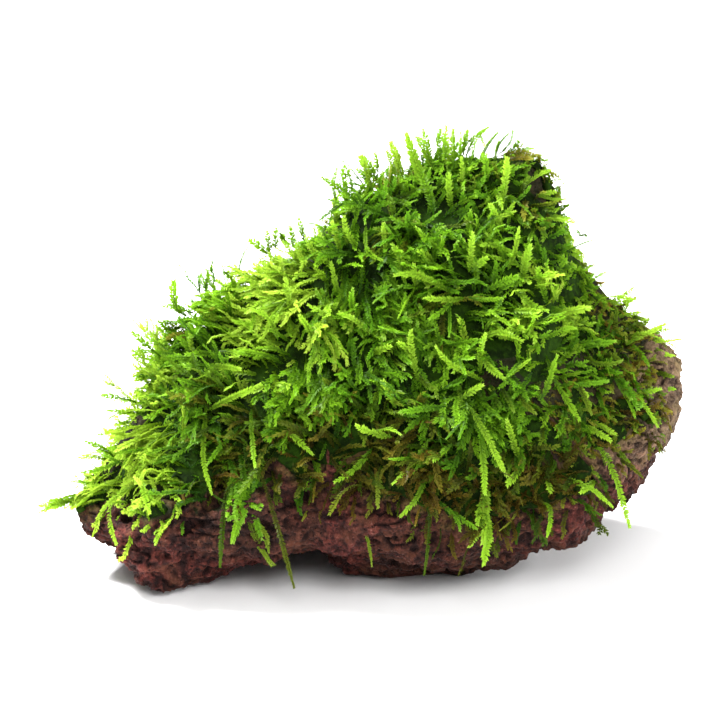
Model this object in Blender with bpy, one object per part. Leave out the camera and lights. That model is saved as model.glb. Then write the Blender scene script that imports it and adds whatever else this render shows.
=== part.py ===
# Java moss growing on a piece of porous red lava stone.
# X runs along the stone from its low left end to its overhanging right end, Y runs from the
# front to the back, Z is up. The origin is the middle of the whole object's footprint, on the
# surface it rests on. All dimensions below are in millimetres and are turned into metres when
# a mesh is made.

import math
import random

import bmesh
import bpy
import numpy as np
from mathutils import Vector, noise
from mathutils.bvhtree import BVHTree

MM = 0.001

# Stone: cross-sections from the left tip to the right nose.
# x, base height, front of the base (y), front belly (y, z), ridge (y, z), back belly (y, z)
STATIONS = (
    (-55.0, 8.5, -14.0, -17.0, 13.0, -2.0, 22.0, 10.0, 13.5),
    (-49.0, 2.8, -20.0, -23.0, 10.0, 0.0, 29.0, 17.0, 12.0),
    (-42.0, 0.0, -23.5, -27.0, 9.0, 2.0, 39.0, 22.0, 13.0),
    (-33.0, 0.0, -15.5, -28.0, 12.0, 4.0, 50.0, 27.0, 15.0),
    (-22.0, 4.2, -13.0, -28.0, 14.0, 5.0, 59.0, 31.0, 17.0),
    (-12.0, 7.6, -13.5, -27.5, 16.0, 6.0, 64.0, 34.0, 18.0),
    (-7.0, 6.8, -12.5, -27.5, 15.0, 7.0, 69.0, 35.0, 19.0),
    (-3.0, 0.0, -9.5, -28.0, 13.5, 8.0, 74.0, 36.0, 20.0),
    (8.0, 0.0, -10.0, -29.5, 14.0, 10.0, 83.0, 38.0, 22.0),
    (20.0, 0.0, -10.0, -30.0, 14.0, 11.0, 86.0, 38.0, 22.0),
    (32.0, 0.0, -10.5, -28.0, 14.0, 11.0, 88.0, 37.0, 22.0),
    (39.0, 4.5, -11.0, -26.0, 16.0, 11.0, 87.0, 35.0, 22.0),
    (45.0, 7.5, -12.0, -24.0, 19.0, 11.0, 73.0, 33.0, 24.0),
    (52.0, 12.5, -11.0, -21.0, 24.0, 10.0, 61.0, 29.0, 28.0),
    (60.0, 20.0, -8.5, -16.0, 30.0, 8.0, 53.5, 24.0, 33.0),
)
LEFT_TIP = (-62.4, -5.0, 15.6)
RIGHT_NOSE = (71.0, 3.0, 37.0)
# How full each end is, over its tip and well under it: 1 is a cone, 2 is round
LEFT_FULLNESS = (1.45, 1.45)
RIGHT_FULLNESS = (2.0, 1.15)
UNDER_TIP = 14.0
SLICES = 100
END_RINGS = 6
# Cells of the ring between its control points, from the front of the base over the top to the back
RING_CELLS = (12, 16, 34, 14, 20, 14)
BASE_CELLS = 18
BACK_UNDERCUT = 0.11
SHOULDER_SHARE = 0.27
SHOULDER_SET_BACK = 0.04
BACK_LEAN = 0.62
# The hollow under the stone gets lower towards the back
BACK_BASE_SHARE = 0.3

# Relief of the stone: size and depth of its lumps, knobs and crumbs, its sideways warp, then
# its ledges and pits
LUMP_SIZE = 17.0
LUMP_DEPTH = 2.8
KNOB_SIZE = 7.5
KNOB_DEPTH = 2.1
CRUMB_SIZE = 3.8
CRUMB_DEPTH = 1.25
WARP_SIZE = 11.0
WARP = 2.6
KNOB_PLACE = Vector((7.1, 3.3, 1.9))
CRUMB_PLACE = Vector((1.7, 8.2, 5.1))
WARP_PLACE_X = Vector((0.0, 6.0, 1.0))
WARP_PLACE_Y = Vector((9.0, 0.0, 4.0))
LEDGE_PITCH = 9.0
LEDGE_DEPTH = 1.9
LEDGE_LEVEL = 0.7
LEDGE_RISE_SHARE = 0.25
LEDGE_UPRIGHT = 1.4
LEDGE_DIP = 0.07
LEDGE_WAVE = 2.2
LEDGE_WAVE_SIZE = 12.0
PIT_COUNT = 210
PIT_RADIUS = (2.4, 5.0)
PIT_FLATTEN = (0.4, 1.0)
PIT_DEPTH = (1.5, 3.2)
CALM_BASE = 3.0
CALM_END = 5.0
COVERED_CALM = 0.85
COVER_FADE = (1.0, 7.0)
UNDER_SIZE = 15.0
UNDER_RISE = 5.0
UNDER_PLACE = Vector((2.0, 5.0, 0.0))
# Share of the fine surface's faces that the stone keeps, and how freely its bare part and the part
# under the moss give them up
FACE_SHARE = 0.098
BARE_FREEDOM = 0.25
COVERED_FREEDOM = 0.99
FREEDOM_FADE = (0.0, 5.0)
LENGTH_COST = 0.15

# Moss cushion: its lower edge as a height along x, on the front and on the back
EDGE_X = (-62.0, -50.0, -35.0, -13.0, 2.0, 20.0, 32.0, 43.0, 52.0, 63.0, 70.0)
EDGE_FRONT_Z = (14.0, 19.0, 25.5, 31.0, 27.0, 22.0, 20.0, 24.0, 29.0, 38.0, 44.0)
EDGE_BACK_Z = (15.0, 20.0, 27.0, 36.0, 38.0, 40.0, 42.0, 44.0, 42.0, 41.0, 44.0)
# Thickness of the closed part of the cushion along x, and how far its tufts stand up from it
THICK_X = (-62.0, -52.0, -40.0, -10.0, 20.0, 34.0, 42.0, 50.0, 70.0)
THICK = (2.0, 3.8, 7.6, 7.5, 7.0, 5.0, 2.4, 1.8, 1.4)
TUFT = (3.0, 5.0, 8.0, 7.0, 6.0, 4.5, 3.0, 2.8, 2.4)
EDGE_THICK = 2.0
EDGE_FADE = 12.0
EDGE_RAGGED = 5.0
EDGE_RAGGED_SIZE = 7.0
EDGE_CREST_BLEND = 8.0
# The cushion breaks up along x on the right slope, and leaves the very peak bare
SPARSE_X = (40.0, 50.0, 60.0, 70.0)
SPARSE = (1.2, 0.35, 0.05, -0.3)
SPARSE_SIZE = 8.0
BARE_PEAK = (41.0, 7.0, 85.5)
BARE_PEAK_RADIUS = 5.0
MOSS_LUMP_SIZE = 9.0
MOSS_LUMP_SHARE = 0.7
MOSS_LUMP_PLACE = Vector((4.0, 9.0, 2.0))
MOSS_UPWARD = 0.3
SURFACE_PULL = 0.5
RIM_PULL = 2.2
CORE_LENGTH = 0.8
CORE_HEIGHT = 0.35
CREST_RISE = (68.0, 86.0)
CREST_THINNING = 0.45
TUFT_COUNT = 130
TUFT_SPACING = 5.0
TUFT_APART = 3.4
TUFT_WAIST = 0.52
TUFT_WAIST_HEIGHT = 0.45
TUFT_LEAN = 0.35
TUFT_CHECKS = (0.45, 0.75, 1.0)
TUFT_VARIES = (0.7, 1.25)
TOUCH_GAP = 0.35
SHARPEST = 0.4
SETTLE_ROUNDS = 12
SETTLE_SHARE = 0.5
FLAT_SNAP = 0.05

# Long single shoots: name, where it leaves the cushion, tip
SHOOTS = (
    ("shoot_left_trailing", (-63.0, -9.0, 17.0), (-69.5, -12.0, 15.5)),
    ("shoot_left_low", (-52.0, -6.0, 25.0), (-59.5, -6.0, 30.0)),
    ("shoot_left_middle", (-46.0, -3.0, 37.0), (-56.0, -3.0, 39.5)),
    ("shoot_left_upper", (-41.0, 0.0, 46.0), (-49.0, 0.0, 53.0)),
    ("shoot_left_bright", (-33.0, 2.0, 54.0), (-40.0, 2.0, 64.0)),
    ("shoot_slope_low", (-25.0, 3.0, 61.0), (-29.0, 3.0, 67.0)),
    ("shoot_slope_high", (-14.0, 5.0, 68.0), (-17.5, 5.0, 75.0)),
    ("shoot_wisp", (-4.0, 7.0, 79.0), (-4.5, 7.0, 88.0)),
    ("shoot_crest_left", (5.0, 9.0, 83.0), (0.5, 9.0, 90.0)),
    ("shoot_crest_middle", (19.0, 10.0, 88.0), (18.5, 10.0, 95.0)),
    ("shoot_crest_right", (30.0, 11.0, 89.0), (33.0, 11.0, 95.0)),
    ("shoot_right_high", (44.0, 4.0, 73.0), (50.5, 4.0, 73.5)),
    ("shoot_right_middle", (51.0, 1.0, 58.0), (59.5, 0.0, 60.5)),
    ("shoot_right_low", (62.0, -2.0, 47.5), (69.0, -3.0, 50.5)),
    ("shoot_front_left", (-51.0, -20.0, 21.0), (-51.5, -27.0, 14.0)),
    ("shoot_front_tuft", (-28.5, -31.0, 25.0), (-29.0, -36.5, 12.5)),
    ("shoot_front_long", (-20.0, -29.0, 27.0), (-13.5, -31.0, 5.5)),
    ("shoot_front_curl", (0.0, -29.0, 28.0), (-6.0, -34.0, 23.5)),
    ("shoot_front_thin", (12.5, -33.0, 24.0), (14.0, -36.0, 10.5)),
    ("shoot_front_bright", (25.0, -33.0, 23.0), (26.5, -37.0, 13.5)),
    ("shoot_front_sprig", (38.0, -27.0, 24.0), (40.0, -31.5, 17.5)),
    ("shoot_front_right", (50.0, -21.0, 30.0), (58.0, -26.0, 17.5)),
)
SHOOT_WIDTH = 2.4
SHOOT_ROOT_SHARE = 0.6
SHOOT_TIP_SHARE = 0.45
SHOOT_STEPS = 6
SHOOT_BEND = 0.4
SHOOT_LIFT = 0.75
SHOOT_CLEAR = 2.1
SHOOT_SUNK = 3.0
SHOOT_FLAT_WAY = Vector((0.3, 1.0, 0.2))
TUFT_KEEP_OFF = 4.4

# Colour and roughness
STONE_FINISH = ((0.16, 0.07, 0.05), 0.9)
CUSHION_FINISH = ((0.10, 0.28, 0.02), 0.7)
SHOOT_FINISH = ((0.2, 0.45, 0.04), 0.6)


def catmull(points, at):
    """Smooth curve through the rows of points, read at the row position at."""
    last = len(points) - 1
    low = min(int(at), last - 1)
    share = at - low
    before = points[max(low - 1, 0)]
    here = points[low]
    there = points[low + 1]
    after = points[min(low + 2, last)]
    chord = np.linalg.norm(there - here)
    slope_here = (there - before) * chord / (chord + np.linalg.norm(here - before))
    slope_there = (after - here) * chord / (chord + np.linalg.norm(after - there))
    square = share * share
    cube = square * share
    return (
        (2 * cube - 3 * square + 1) * here
        + (cube - 2 * square + share) * slope_here
        + (3 * square - 2 * cube) * there
        + (cube - square) * slope_there
    )


def smooth_step(value, low, high):
    share = min(max((value - low) / (high - low), 0.0), 1.0)
    return share * share * (3 - 2 * share)


def read_station(x):
    """Section values at x, smooth from one station to the next."""
    table = np.array(STATIONS)
    places = table[:, 0]
    at = float(np.interp(x, places, np.arange(len(places))))
    row = catmull(table, at)
    linear = np.array([np.interp(x, places, column) for column in table.T])
    row[1] = max(linear[1], 0.0)
    return row


def ring_points(x):
    """One closed cross-section of the stone as (x, y, z) points."""
    _, base, foot_y, front_y, front_z, ridge_y, ridge_z, back_y, back_z = read_station(x)
    depth = back_y - front_y
    shoulder_z = front_z + SHOULDER_SHARE * (ridge_z - front_z)
    back_shoulder_z = back_z + BACK_LEAN * (ridge_z - back_z)
    controls = np.array((
        (foot_y, base),
        (front_y, front_z),
        (front_y + SHOULDER_SET_BACK * depth, shoulder_z),
        (ridge_y, ridge_z),
        (ridge_y + BACK_LEAN * (back_y - ridge_y), back_shoulder_z),
        (back_y, back_z),
        (back_y - BACK_UNDERCUT * depth, BACK_BASE_SHARE * base),
    ))
    points = []
    for segment, cells in enumerate(RING_CELLS):
        for cell in range(cells):
            points.append(catmull(controls, segment + cell / cells))
    back_base = controls[-1]
    front_base = controls[0]
    for cell in range(BASE_CELLS):
        points.append(back_base + (front_base - back_base) * cell / BASE_CELLS)
    return [Vector((x, float(y), float(z))) for y, z in points]


def end_rings(ring, tip, fullness):
    """Rings that close an end of the stone, from its last section towards its tip."""
    rings = []
    above, below = fullness
    for step in range(1, END_RINGS + 1):
        turn = math.pi / 2 * step / (END_RINGS + 1)
        share = math.sin(turn) ** (2 / above)
        points = []
        for point in ring:
            full = above + (below - above) * smooth_step(tip[2] - point.z, 0.0, UNDER_TIP)
            shrink = (1.0 - share ** full) ** (1 / full)
            points.append(Vector((
                point.x + (tip[0] - point.x) * share,
                tip[1] + (point.y - tip[1]) * shrink,
                tip[2] + (point.z - tip[2]) * shrink,
            )))
        rings.append(points)
    return rings


def stone_rings():
    """All the cross-sections of the stone, from its left tip to its right nose."""
    first = STATIONS[0][0]
    last = STATIONS[-1][0]
    rings = [ring_points(first + (last - first) * row / (SLICES - 1)) for row in range(SLICES)]
    left = end_rings(rings[0], LEFT_TIP, LEFT_FULLNESS)
    right = end_rings(rings[-1], RIGHT_NOSE, RIGHT_FULLNESS)
    return left[::-1] + rings + right


def stone_relief(point, normal, pits):
    """How far a point of the stone is moved along its normal."""
    relief = LUMP_DEPTH * noise.noise(point / LUMP_SIZE)
    relief += KNOB_DEPTH * noise.noise(point / KNOB_SIZE + KNOB_PLACE)
    relief += CRUMB_DEPTH * noise.noise(point / CRUMB_SIZE + CRUMB_PLACE)
    wave = LEDGE_WAVE * noise.noise(point / LEDGE_WAVE_SIZE)
    rise = ((point.z + LEDGE_DIP * point.x + wave) / LEDGE_PITCH) % 1.0
    ledge = min(rise / LEDGE_RISE_SHARE, (1.0 - rise) / (1.0 - LEDGE_RISE_SHARE))
    upright = max(0.0, 1.0 - abs(normal.z) * LEDGE_UPRIGHT)
    relief += LEDGE_DEPTH * upright * (math.sqrt(ledge) - LEDGE_LEVEL)
    hollow = 0.0
    for centre, radius, flatness, depth in pits:
        away = point - centre
        away.z /= flatness
        share = away.length / radius
        if share < 1.0:
            hollow = max(hollow, depth * (1.0 - share ** 3))
    return relief - hollow


def make_stone():
    """The stone as a closed bmesh in millimetres."""
    rings = stone_rings()
    count = len(rings[0])
    body = bmesh.new()
    for ring in rings:
        for point in ring:
            body.verts.new(point)
    left = body.verts.new(LEFT_TIP)
    right = body.verts.new(RIGHT_NOSE)
    body.verts.ensure_lookup_table()
    for row in range(len(rings) - 1):
        for column in range(count):
            after = (column + 1) % count
            a = body.verts[row * count + column]
            b = body.verts[row * count + after]
            c = body.verts[(row + 1) * count + after]
            d = body.verts[(row + 1) * count + column]
            body.faces.new((a, d, c, b))
    last = (len(rings) - 1) * count
    for column in range(count):
        after = (column + 1) % count
        body.faces.new((left, body.verts[column], body.verts[after]))
        body.faces.new((right, body.verts[last + after], body.verts[last + column]))
    bmesh.ops.recalc_face_normals(body, faces=body.faces)
    body.normal_update()
    rough_up(body)
    bmesh.ops.triangulate(body, faces=body.faces)
    return thin_out(body)


def rough_up(body):
    """Lumps, ledges and pits, which fade out towards the flat spots of the base."""
    seeds = random.Random(11)
    verts = list(body.verts)
    pits = []
    while len(pits) < PIT_COUNT:
        centre = seeds.choice(verts).co.copy()
        radius = seeds.uniform(*PIT_RADIUS)
        flatness = seeds.uniform(*PIT_FLATTEN)
        depth = seeds.uniform(*PIT_DEPTH)
        if centre.z > radius:
            pits.append((centre, radius, flatness, depth))
    moves = []
    for vert in verts:
        to_end = min((vert.co - Vector(end)).length for end in (LEFT_TIP, RIGHT_NOSE))
        fade = smooth_step(vert.co.z, 0.0, CALM_BASE) * smooth_step(to_end, 0.0, CALM_END)
        fade *= 1.0 - COVERED_CALM * smooth_step(moss_height(vert.co), *COVER_FADE)
        move = vert.normal * stone_relief(vert.co, vert.normal, pits) * fade
        place = vert.co / WARP_SIZE
        move.x += WARP * noise.noise(place + WARP_PLACE_X)
        move.y += WARP * noise.noise(place + WARP_PLACE_Y)
        if vert.co.z < CALM_BASE:
            move.z += UNDER_RISE * max(0.0, noise.noise(vert.co / UNDER_SIZE + UNDER_PLACE))
        moves.append(move)
    for vert, move in zip(verts, moves):
        vert.co += move
        vert.co.z = max(vert.co.z, 0.0)
    body.normal_update()


def thin_out(body):
    """Fewer faces: few under the moss, where nothing shows, and more where the stone is bare."""
    mesh = bpy.data.meshes.new("fine_stone")
    body.to_mesh(mesh)
    under_moss = [moss_height(vert.co) for vert in body.verts]
    body.free()
    fine = bpy.data.objects.new("fine_stone", mesh)
    bpy.context.scene.collection.objects.link(fine)
    group = fine.vertex_groups.new(name="under_moss")
    for index, height in enumerate(under_moss):
        covered = smooth_step(height, *FREEDOM_FADE)
        freedom = BARE_FREEDOM + (COVERED_FREEDOM - BARE_FREEDOM) * covered
        group.add([index], freedom, "REPLACE")
    thinner = fine.modifiers.new("thinner", "DECIMATE")
    thinner.ratio = FACE_SHARE
    thinner.vertex_group = group.name
    thinner.vertex_group_factor = LENGTH_COST
    graph = bpy.context.evaluated_depsgraph_get()
    coarse = bmesh.new()
    coarse.from_mesh(fine.evaluated_get(graph).to_mesh())
    bpy.data.objects.remove(fine, do_unlink=True)
    for vert in coarse.verts:
        if vert.co.z < FLAT_SNAP:
            vert.co.z = 0.0
    coarse.normal_update()
    coarse.verts.ensure_lookup_table()
    coarse.verts.index_update()
    coarse.faces.index_update()
    return coarse


def moss_height(point):
    """How far a point of the stone lies above the moss's lower edge, below zero where it is bare."""
    ridge_y = read_station(point.x)[5]
    front = float(np.interp(point.x, EDGE_X, EDGE_FRONT_Z))
    back = float(np.interp(point.x, EDGE_X, EDGE_BACK_Z))
    behind = smooth_step(point.y, ridge_y - EDGE_CREST_BLEND, ridge_y + EDGE_CREST_BLEND)
    edge = front + (back - front) * behind
    above = point.z - edge + EDGE_RAGGED * noise.noise(point / EDGE_RAGGED_SIZE)
    sparse = float(np.interp(point.x, SPARSE_X, SPARSE)) + noise.noise(point / SPARSE_SIZE)
    to_peak = (point - Vector(BARE_PEAK)).length - BARE_PEAK_RADIUS
    return min(above, sparse * SPARSE_SIZE, to_peak)


def make_cushion(stone):
    """The closed part of the moss: an inner skin just off the stone, an outer skin and its rim."""
    above = {face for face in stone.faces if moss_height(face.calc_center_median()) > 0.0}
    covered = largest_patch(above)
    while part_fans(covered):
        covered = largest_patch(covered)
    used = {vert for face in covered for vert in face.verts}
    rim_points = [
        vert.co.copy() for vert in used if any(face not in covered for face in vert.link_faces)
    ]
    body = bmesh.new()
    inner = {}
    outer = {}
    for vert in sorted(used, key=index_of):
        facing = min(vert.normal.dot(face.normal) for face in vert.link_faces)
        lift = TOUCH_GAP / max(facing, SHARPEST)
        inner[vert] = body.verts.new(vert.co + vert.normal * lift)
        outer[vert] = body.verts.new(cushion_point(vert.co, vert.normal, rim_points))
    halves = {}
    outer_faces = []
    for face in sorted(covered, key=index_of):
        corners = [loop.vert for loop in face.loops]
        body.faces.new([inner[vert] for vert in reversed(corners)])
        middles = []
        for loop in face.loops:
            edge = loop.edge
            if edge not in halves:
                low, high = edge.verts
                middle = (low.co + high.co) / 2
                normal = (low.normal + high.normal).normalized()
                halves[edge] = body.verts.new(cushion_point(middle, normal, rim_points))
            middles.append(halves[edge])
            if any(other not in covered for other in edge.link_faces):
                start = loop.vert
                end = loop.link_loop_next.vert
                body.faces.new((inner[start], inner[end], outer[end], halves[edge], outer[start]))
        for index in range(3):
            trio = (outer[corners[index]], middles[index], middles[index - 1])
            outer_faces.append(body.faces.new(trio))
        outer_faces.append(body.faces.new(middles))
    settle_skin(body, set(outer.values()) | set(halves.values()))
    body.normal_update()
    return body, outer_faces


def settle_skin(body, outer):
    """Evens out the outer skin wherever it would cut through itself."""
    body.faces.ensure_lookup_table()
    body.verts.index_update()
    for _ in range(SETTLE_ROUNDS):
        tree = BVHTree.FromBMesh(body)
        tangled = set()
        for first, second in tree.overlap(tree):
            corners = set(body.faces[first].verts)
            others = set(body.faces[second].verts)
            if not corners & others:
                tangled |= corners | others
        if not tangled:
            return
        for vert in sorted(tangled & outer, key=index_of):
            around = [edge.other_vert(vert).co for edge in vert.link_edges
                      if edge.other_vert(vert) in outer]
            vert.co = vert.co.lerp(sum(around, Vector()) / len(around), SETTLE_SHARE)


def index_of(item):
    return item.index


def part_fans(faces):
    """Drops faces that meet the rest of the patch at one corner only, and says how many."""
    dropped = set()
    for vert in sorted({vert for face in faces for vert in face.verts}, key=index_of):
        around = {face for face in vert.link_faces if face in faces and face not in dropped}
        fan = largest_patch(around)
        dropped |= around - fan
    faces -= dropped
    return len(dropped)


def cushion_point(point, normal, rim_points):
    """The outer skin's point over a point of the stone."""
    reach = min((point - other).length for other in rim_points)
    crest = 1.0 - CREST_THINNING * smooth_step(point.z, *CREST_RISE)
    full = float(np.interp(point.x, THICK_X, THICK)) * crest
    lump = 1.0 + MOSS_LUMP_SHARE * noise.noise(point / MOSS_LUMP_SIZE + MOSS_LUMP_PLACE)
    edge = min(EDGE_THICK, full)
    inward = smooth_step(reach, 0.0, EDGE_FADE)
    depth = edge + (full * lump - edge) * inward
    pull = RIM_PULL + (SURFACE_PULL - RIM_PULL) * inward
    return point + growth_way(point, normal, pull) * depth


def growth_way(point, normal, pull):
    """The way the moss grows: away from the stone's middle line, off the surface and upwards."""
    _, _, _, _, _, ridge_y, ridge_z, _, _ = read_station(point.x)
    middle = Vector((point.x * CORE_LENGTH, ridge_y, ridge_z * CORE_HEIGHT))
    away = (point - middle).normalized()
    return (away + normal * pull + Vector((0.0, 0.0, MOSS_UPWARD))).normalized()


def largest_patch(faces):
    """The one connected patch that has the most faces."""
    left = set(faces)
    best = set()
    for first in sorted(faces, key=index_of):
        if first not in left:
            continue
        left.discard(first)
        patch = {first}
        edge_on = [first]
        while edge_on:
            face = edge_on.pop()
            for edge in face.edges:
                for other in edge.link_faces:
                    if other in left:
                        left.discard(other)
                        patch.add(other)
                        edge_on.append(other)
        if len(patch) > len(best):
            best = patch
    return best


def grow_tufts(body, faces, cushion, paths):
    """Pointed tufts drawn out of single faces of the outer skin, clear of the long shoots."""
    seeds = random.Random(5)
    shoot_points = [low.lerp(high, share) for path in paths for low, high in zip(path, path[1:])
                    for share in (0.0, 0.5, 1.0)]
    order = list(faces)
    seeds.shuffle(order)
    roots = []
    stems = []
    for face in order:
        centre = face.calc_center_median()
        crest = 1.0 - CREST_THINNING * smooth_step(centre.z, *CREST_RISE)
        height = float(np.interp(centre.x, THICK_X, TUFT)) * seeds.uniform(*TUFT_VARIES) * crest
        lean = Vector([seeds.uniform(-TUFT_LEAN, TUFT_LEAN) for _ in range(3)])
        way = (growth_way(centre, face.normal, SURFACE_PULL) + lean).normalized()
        stem = [centre.lerp(centre + way * height, share) for share in TUFT_CHECKS]
        blocked = cushion.ray_cast(centre + way * TOUCH_GAP, way, height)[0]
        if blocked or is_near([centre], roots, TUFT_SPACING) or is_near(stem, stems, TUFT_APART):
            continue
        if is_near(stem, shoot_points, TUFT_KEEP_OFF):
            continue
        draw_out(body, face, way, height)
        roots.append(centre)
        stems.extend(stem)
        if len(roots) == TUFT_COUNT:
            break


def is_near(points, others, distance):
    return any((point - other).length < distance for point in points for other in others)


def draw_out(body, face, way, height):
    """A face drawn out to a waist and then to a point."""
    grown = bmesh.ops.extrude_discrete_faces(body, faces=[face])["faces"][0]
    centre = grown.calc_center_median()
    for vert in grown.verts:
        vert.co = centre + (vert.co - centre) * TUFT_WAIST + way * height * TUFT_WAIST_HEIGHT
    tip = bmesh.ops.poke(body, faces=[grown], offset=0.0)["verts"][0]
    tip.co = centre + way * height


def outer_tree(faces):
    """Search tree of the cushion's outer skin alone."""
    corners = sorted({vert for face in faces for vert in face.verts}, key=index_of)
    place = {vert: index for index, vert in enumerate(corners)}
    polygons = [[place[vert] for vert in face.verts] for face in faces]
    return BVHTree.FromPolygons([vert.co for vert in corners], polygons)


def shoot_path(root, tip, cushion, stone):
    """Points from just off the cushion to the tip, held clear of the stone and the cushion."""
    foot, way, _, _ = cushion.find_nearest(Vector(root))
    start = foot + way * SHOOT_CLEAR
    end = Vector(tip)
    bend = start + way * (end - start).length * SHOOT_BEND
    points = [foot + way * SHOOT_LIFT]
    for step in range(SHOOT_STEPS):
        share = step / (SHOOT_STEPS - 1)
        point = start * (1 - share) ** 2 + bend * 2 * share * (1 - share) + end * share ** 2
        for tree in (cushion, stone):
            near, outward, _, away = tree.find_nearest(point)
            inside = (point - near).dot(outward) < 0 and away < SHOOT_SUNK
            if inside or away < SHOOT_CLEAR:
                point = near + outward * SHOOT_CLEAR
        points.append(point)
    return points


def make_shoot(points):
    """A tapered stem with a square section along a path, closed by a point at its tip."""
    body = bmesh.new()
    rings = []
    side = SHOOT_FLAT_WAY
    for step, centre in enumerate(points[:-1]):
        share = step / (len(points) - 1)
        along = (points[step + 1] - points[max(step - 1, 0)]).normalized()
        side = (side - along * side.dot(along)).normalized()
        other = along.cross(side)
        width = SHOOT_ROOT_SHARE if step == 0 else 1.0 - (1.0 - SHOOT_TIP_SHARE) * share
        half = SHOOT_WIDTH / 2 * width
        rings.append([
            body.verts.new(centre + side * half * math.cos(turn) + other * half * math.sin(turn))
            for turn in (0.0, math.pi / 2, math.pi, math.pi * 1.5)
        ])
    point = body.verts.new(points[-1])
    body.faces.new(reversed(rings[0]))
    for low, high in zip(rings, rings[1:]):
        for corner in range(4):
            after = (corner + 1) % 4
            body.faces.new((low[corner], low[after], high[after], high[corner]))
    for corner in range(4):
        body.faces.new((rings[-1][corner], rings[-1][(corner + 1) % 4], point))
    bmesh.ops.recalc_face_normals(body, faces=body.faces)
    return body


def make_material(name, finish):
    colour, roughness = finish
    material = bpy.data.materials.new(name)
    material.use_nodes = True
    shader = material.node_tree.nodes["Principled BSDF"]
    shader.inputs["Base Color"].default_value = (*colour, 1.0)
    shader.inputs["Roughness"].default_value = roughness
    shader.inputs["Metallic"].default_value = 0.0
    return material


def add_object(name, body, material, shift):
    """A bmesh in millimetres as an object in metres."""
    quads = [face for face in body.faces if len(face.verts) > 3]
    bmesh.ops.triangulate(body, faces=quads, quad_method="FIXED")
    for vert in body.verts:
        vert.co = (vert.co + shift) * MM
    mesh = bpy.data.meshes.new(name)
    body.to_mesh(mesh)
    body.free()
    mesh.materials.append(material)
    thing = bpy.data.objects.new(name, mesh)
    bpy.context.scene.collection.objects.link(thing)
    return thing


def main():
    for thing in list(bpy.data.objects):
        bpy.data.objects.remove(thing, do_unlink=True)
    stone = make_stone()
    moss, outer_faces = make_cushion(stone)
    stone_tree = BVHTree.FromBMesh(stone)
    cushion_tree = outer_tree(outer_faces)
    paths = [shoot_path(root, tip, cushion_tree, stone_tree) for _, root, tip in SHOOTS]
    grow_tufts(moss, outer_faces, cushion_tree, paths)
    bodies = [
        ("stone", stone, make_material("lava_stone", STONE_FINISH)),
        ("moss_mat", moss, make_material("moss_cushion", CUSHION_FINISH)),
    ]
    for (name, _, _), path in zip(SHOOTS, paths):
        bodies.append((name, make_shoot(path), make_material(name, SHOOT_FINISH)))
    places = np.array([vert.co for _, body, _ in bodies for vert in body.verts])
    middle = (places.min(axis=0) + places.max(axis=0)) / 2
    shift = Vector((-middle[0], -middle[1], 0.0))
    for name, body, material in bodies:
        add_object(name, body, material, shift)


main()
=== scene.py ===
import math

import bpy
import numpy as np
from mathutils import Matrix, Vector, noise
from mathutils.bvhtree import BVHTree


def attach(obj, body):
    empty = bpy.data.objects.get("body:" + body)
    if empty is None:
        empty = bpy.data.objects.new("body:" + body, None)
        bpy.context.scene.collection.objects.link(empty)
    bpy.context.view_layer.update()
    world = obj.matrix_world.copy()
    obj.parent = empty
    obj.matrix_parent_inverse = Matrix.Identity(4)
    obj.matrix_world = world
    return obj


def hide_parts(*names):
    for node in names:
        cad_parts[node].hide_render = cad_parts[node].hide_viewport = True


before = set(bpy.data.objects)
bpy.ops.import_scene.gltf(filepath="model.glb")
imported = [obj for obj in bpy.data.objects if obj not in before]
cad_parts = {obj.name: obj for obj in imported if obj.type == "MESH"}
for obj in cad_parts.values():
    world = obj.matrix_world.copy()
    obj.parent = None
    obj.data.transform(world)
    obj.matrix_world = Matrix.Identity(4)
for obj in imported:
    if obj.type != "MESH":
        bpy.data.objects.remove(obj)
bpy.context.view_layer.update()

# Java moss growing over a lump of porous red lava stone.
# Sizes in the dictionaries are millimetres, and meshes are written in metres.

mm = 0.001
mergeDistance = 0.01 * mm
smallest = 1e-9  # keeps unit() from dividing by zero

view = {
    "target": (-1.2, 0.0, 46.0),
    "elevation": 18.0,
    "distance": 700.0,
    "pixelsPerMillimetre": 4.57,  # at the target
    "frameSize": 720,
    "sensor": 36.0,
}

# The stone's ridge, which the light comes over
ridge = {
    "x": (-62.0, -49.0, -42.0, -33.0, -22.0, -12.0, -3.0, 8.0, 20.0, 39.0, 45.0, 52.0, 60.0, 70.0),
    "z": (16.0, 29.0, 39.0, 50.0, 59.0, 64.0, 74.0, 83.0, 86.0, 87.0, 73.0, 61.0, 53.5, 38.0),
}


def pickOnly(piece):
    bpy.ops.object.select_all(action="DESELECT")
    piece.select_set(True)
    bpy.context.view_layer.objects.active = piece


def applyModifier(piece, kind, settings):
    pickOnly(piece)
    modifier = piece.modifiers.new(kind.lower(), kind)
    for name, value in settings.items():
        setattr(modifier, name, value)
    bpy.ops.object.modifier_apply(modifier=modifier.name)


def copyNode(nodeName, pieceName):
    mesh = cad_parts[nodeName].data.copy()
    mesh.name = pieceName
    mesh.materials.clear()
    piece = bpy.data.objects.new(pieceName, mesh)
    bpy.context.collection.objects.link(piece)
    pickOnly(piece)
    bpy.ops.object.mode_set(mode="EDIT")
    bpy.ops.mesh.select_all(action="SELECT")
    bpy.ops.mesh.remove_doubles(threshold=mergeDistance)
    bpy.ops.object.mode_set(mode="OBJECT")
    return piece


def readPoints(mesh):  # in millimetres
    flat = np.zeros(len(mesh.vertices) * 3, np.float32)
    mesh.vertices.foreach_get("co", flat)
    return flat.reshape(-1, 3).astype(float) / mm


def writePoints(mesh, points):
    mesh.vertices.foreach_set("co", (points * mm).astype(np.float32).ravel())
    mesh.update()


def readNormals(mesh):
    flat = np.zeros(len(mesh.vertices) * 3, np.float32)
    mesh.vertex_normals.foreach_get("vector", flat)
    return flat.reshape(-1, 3).astype(float)


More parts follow.
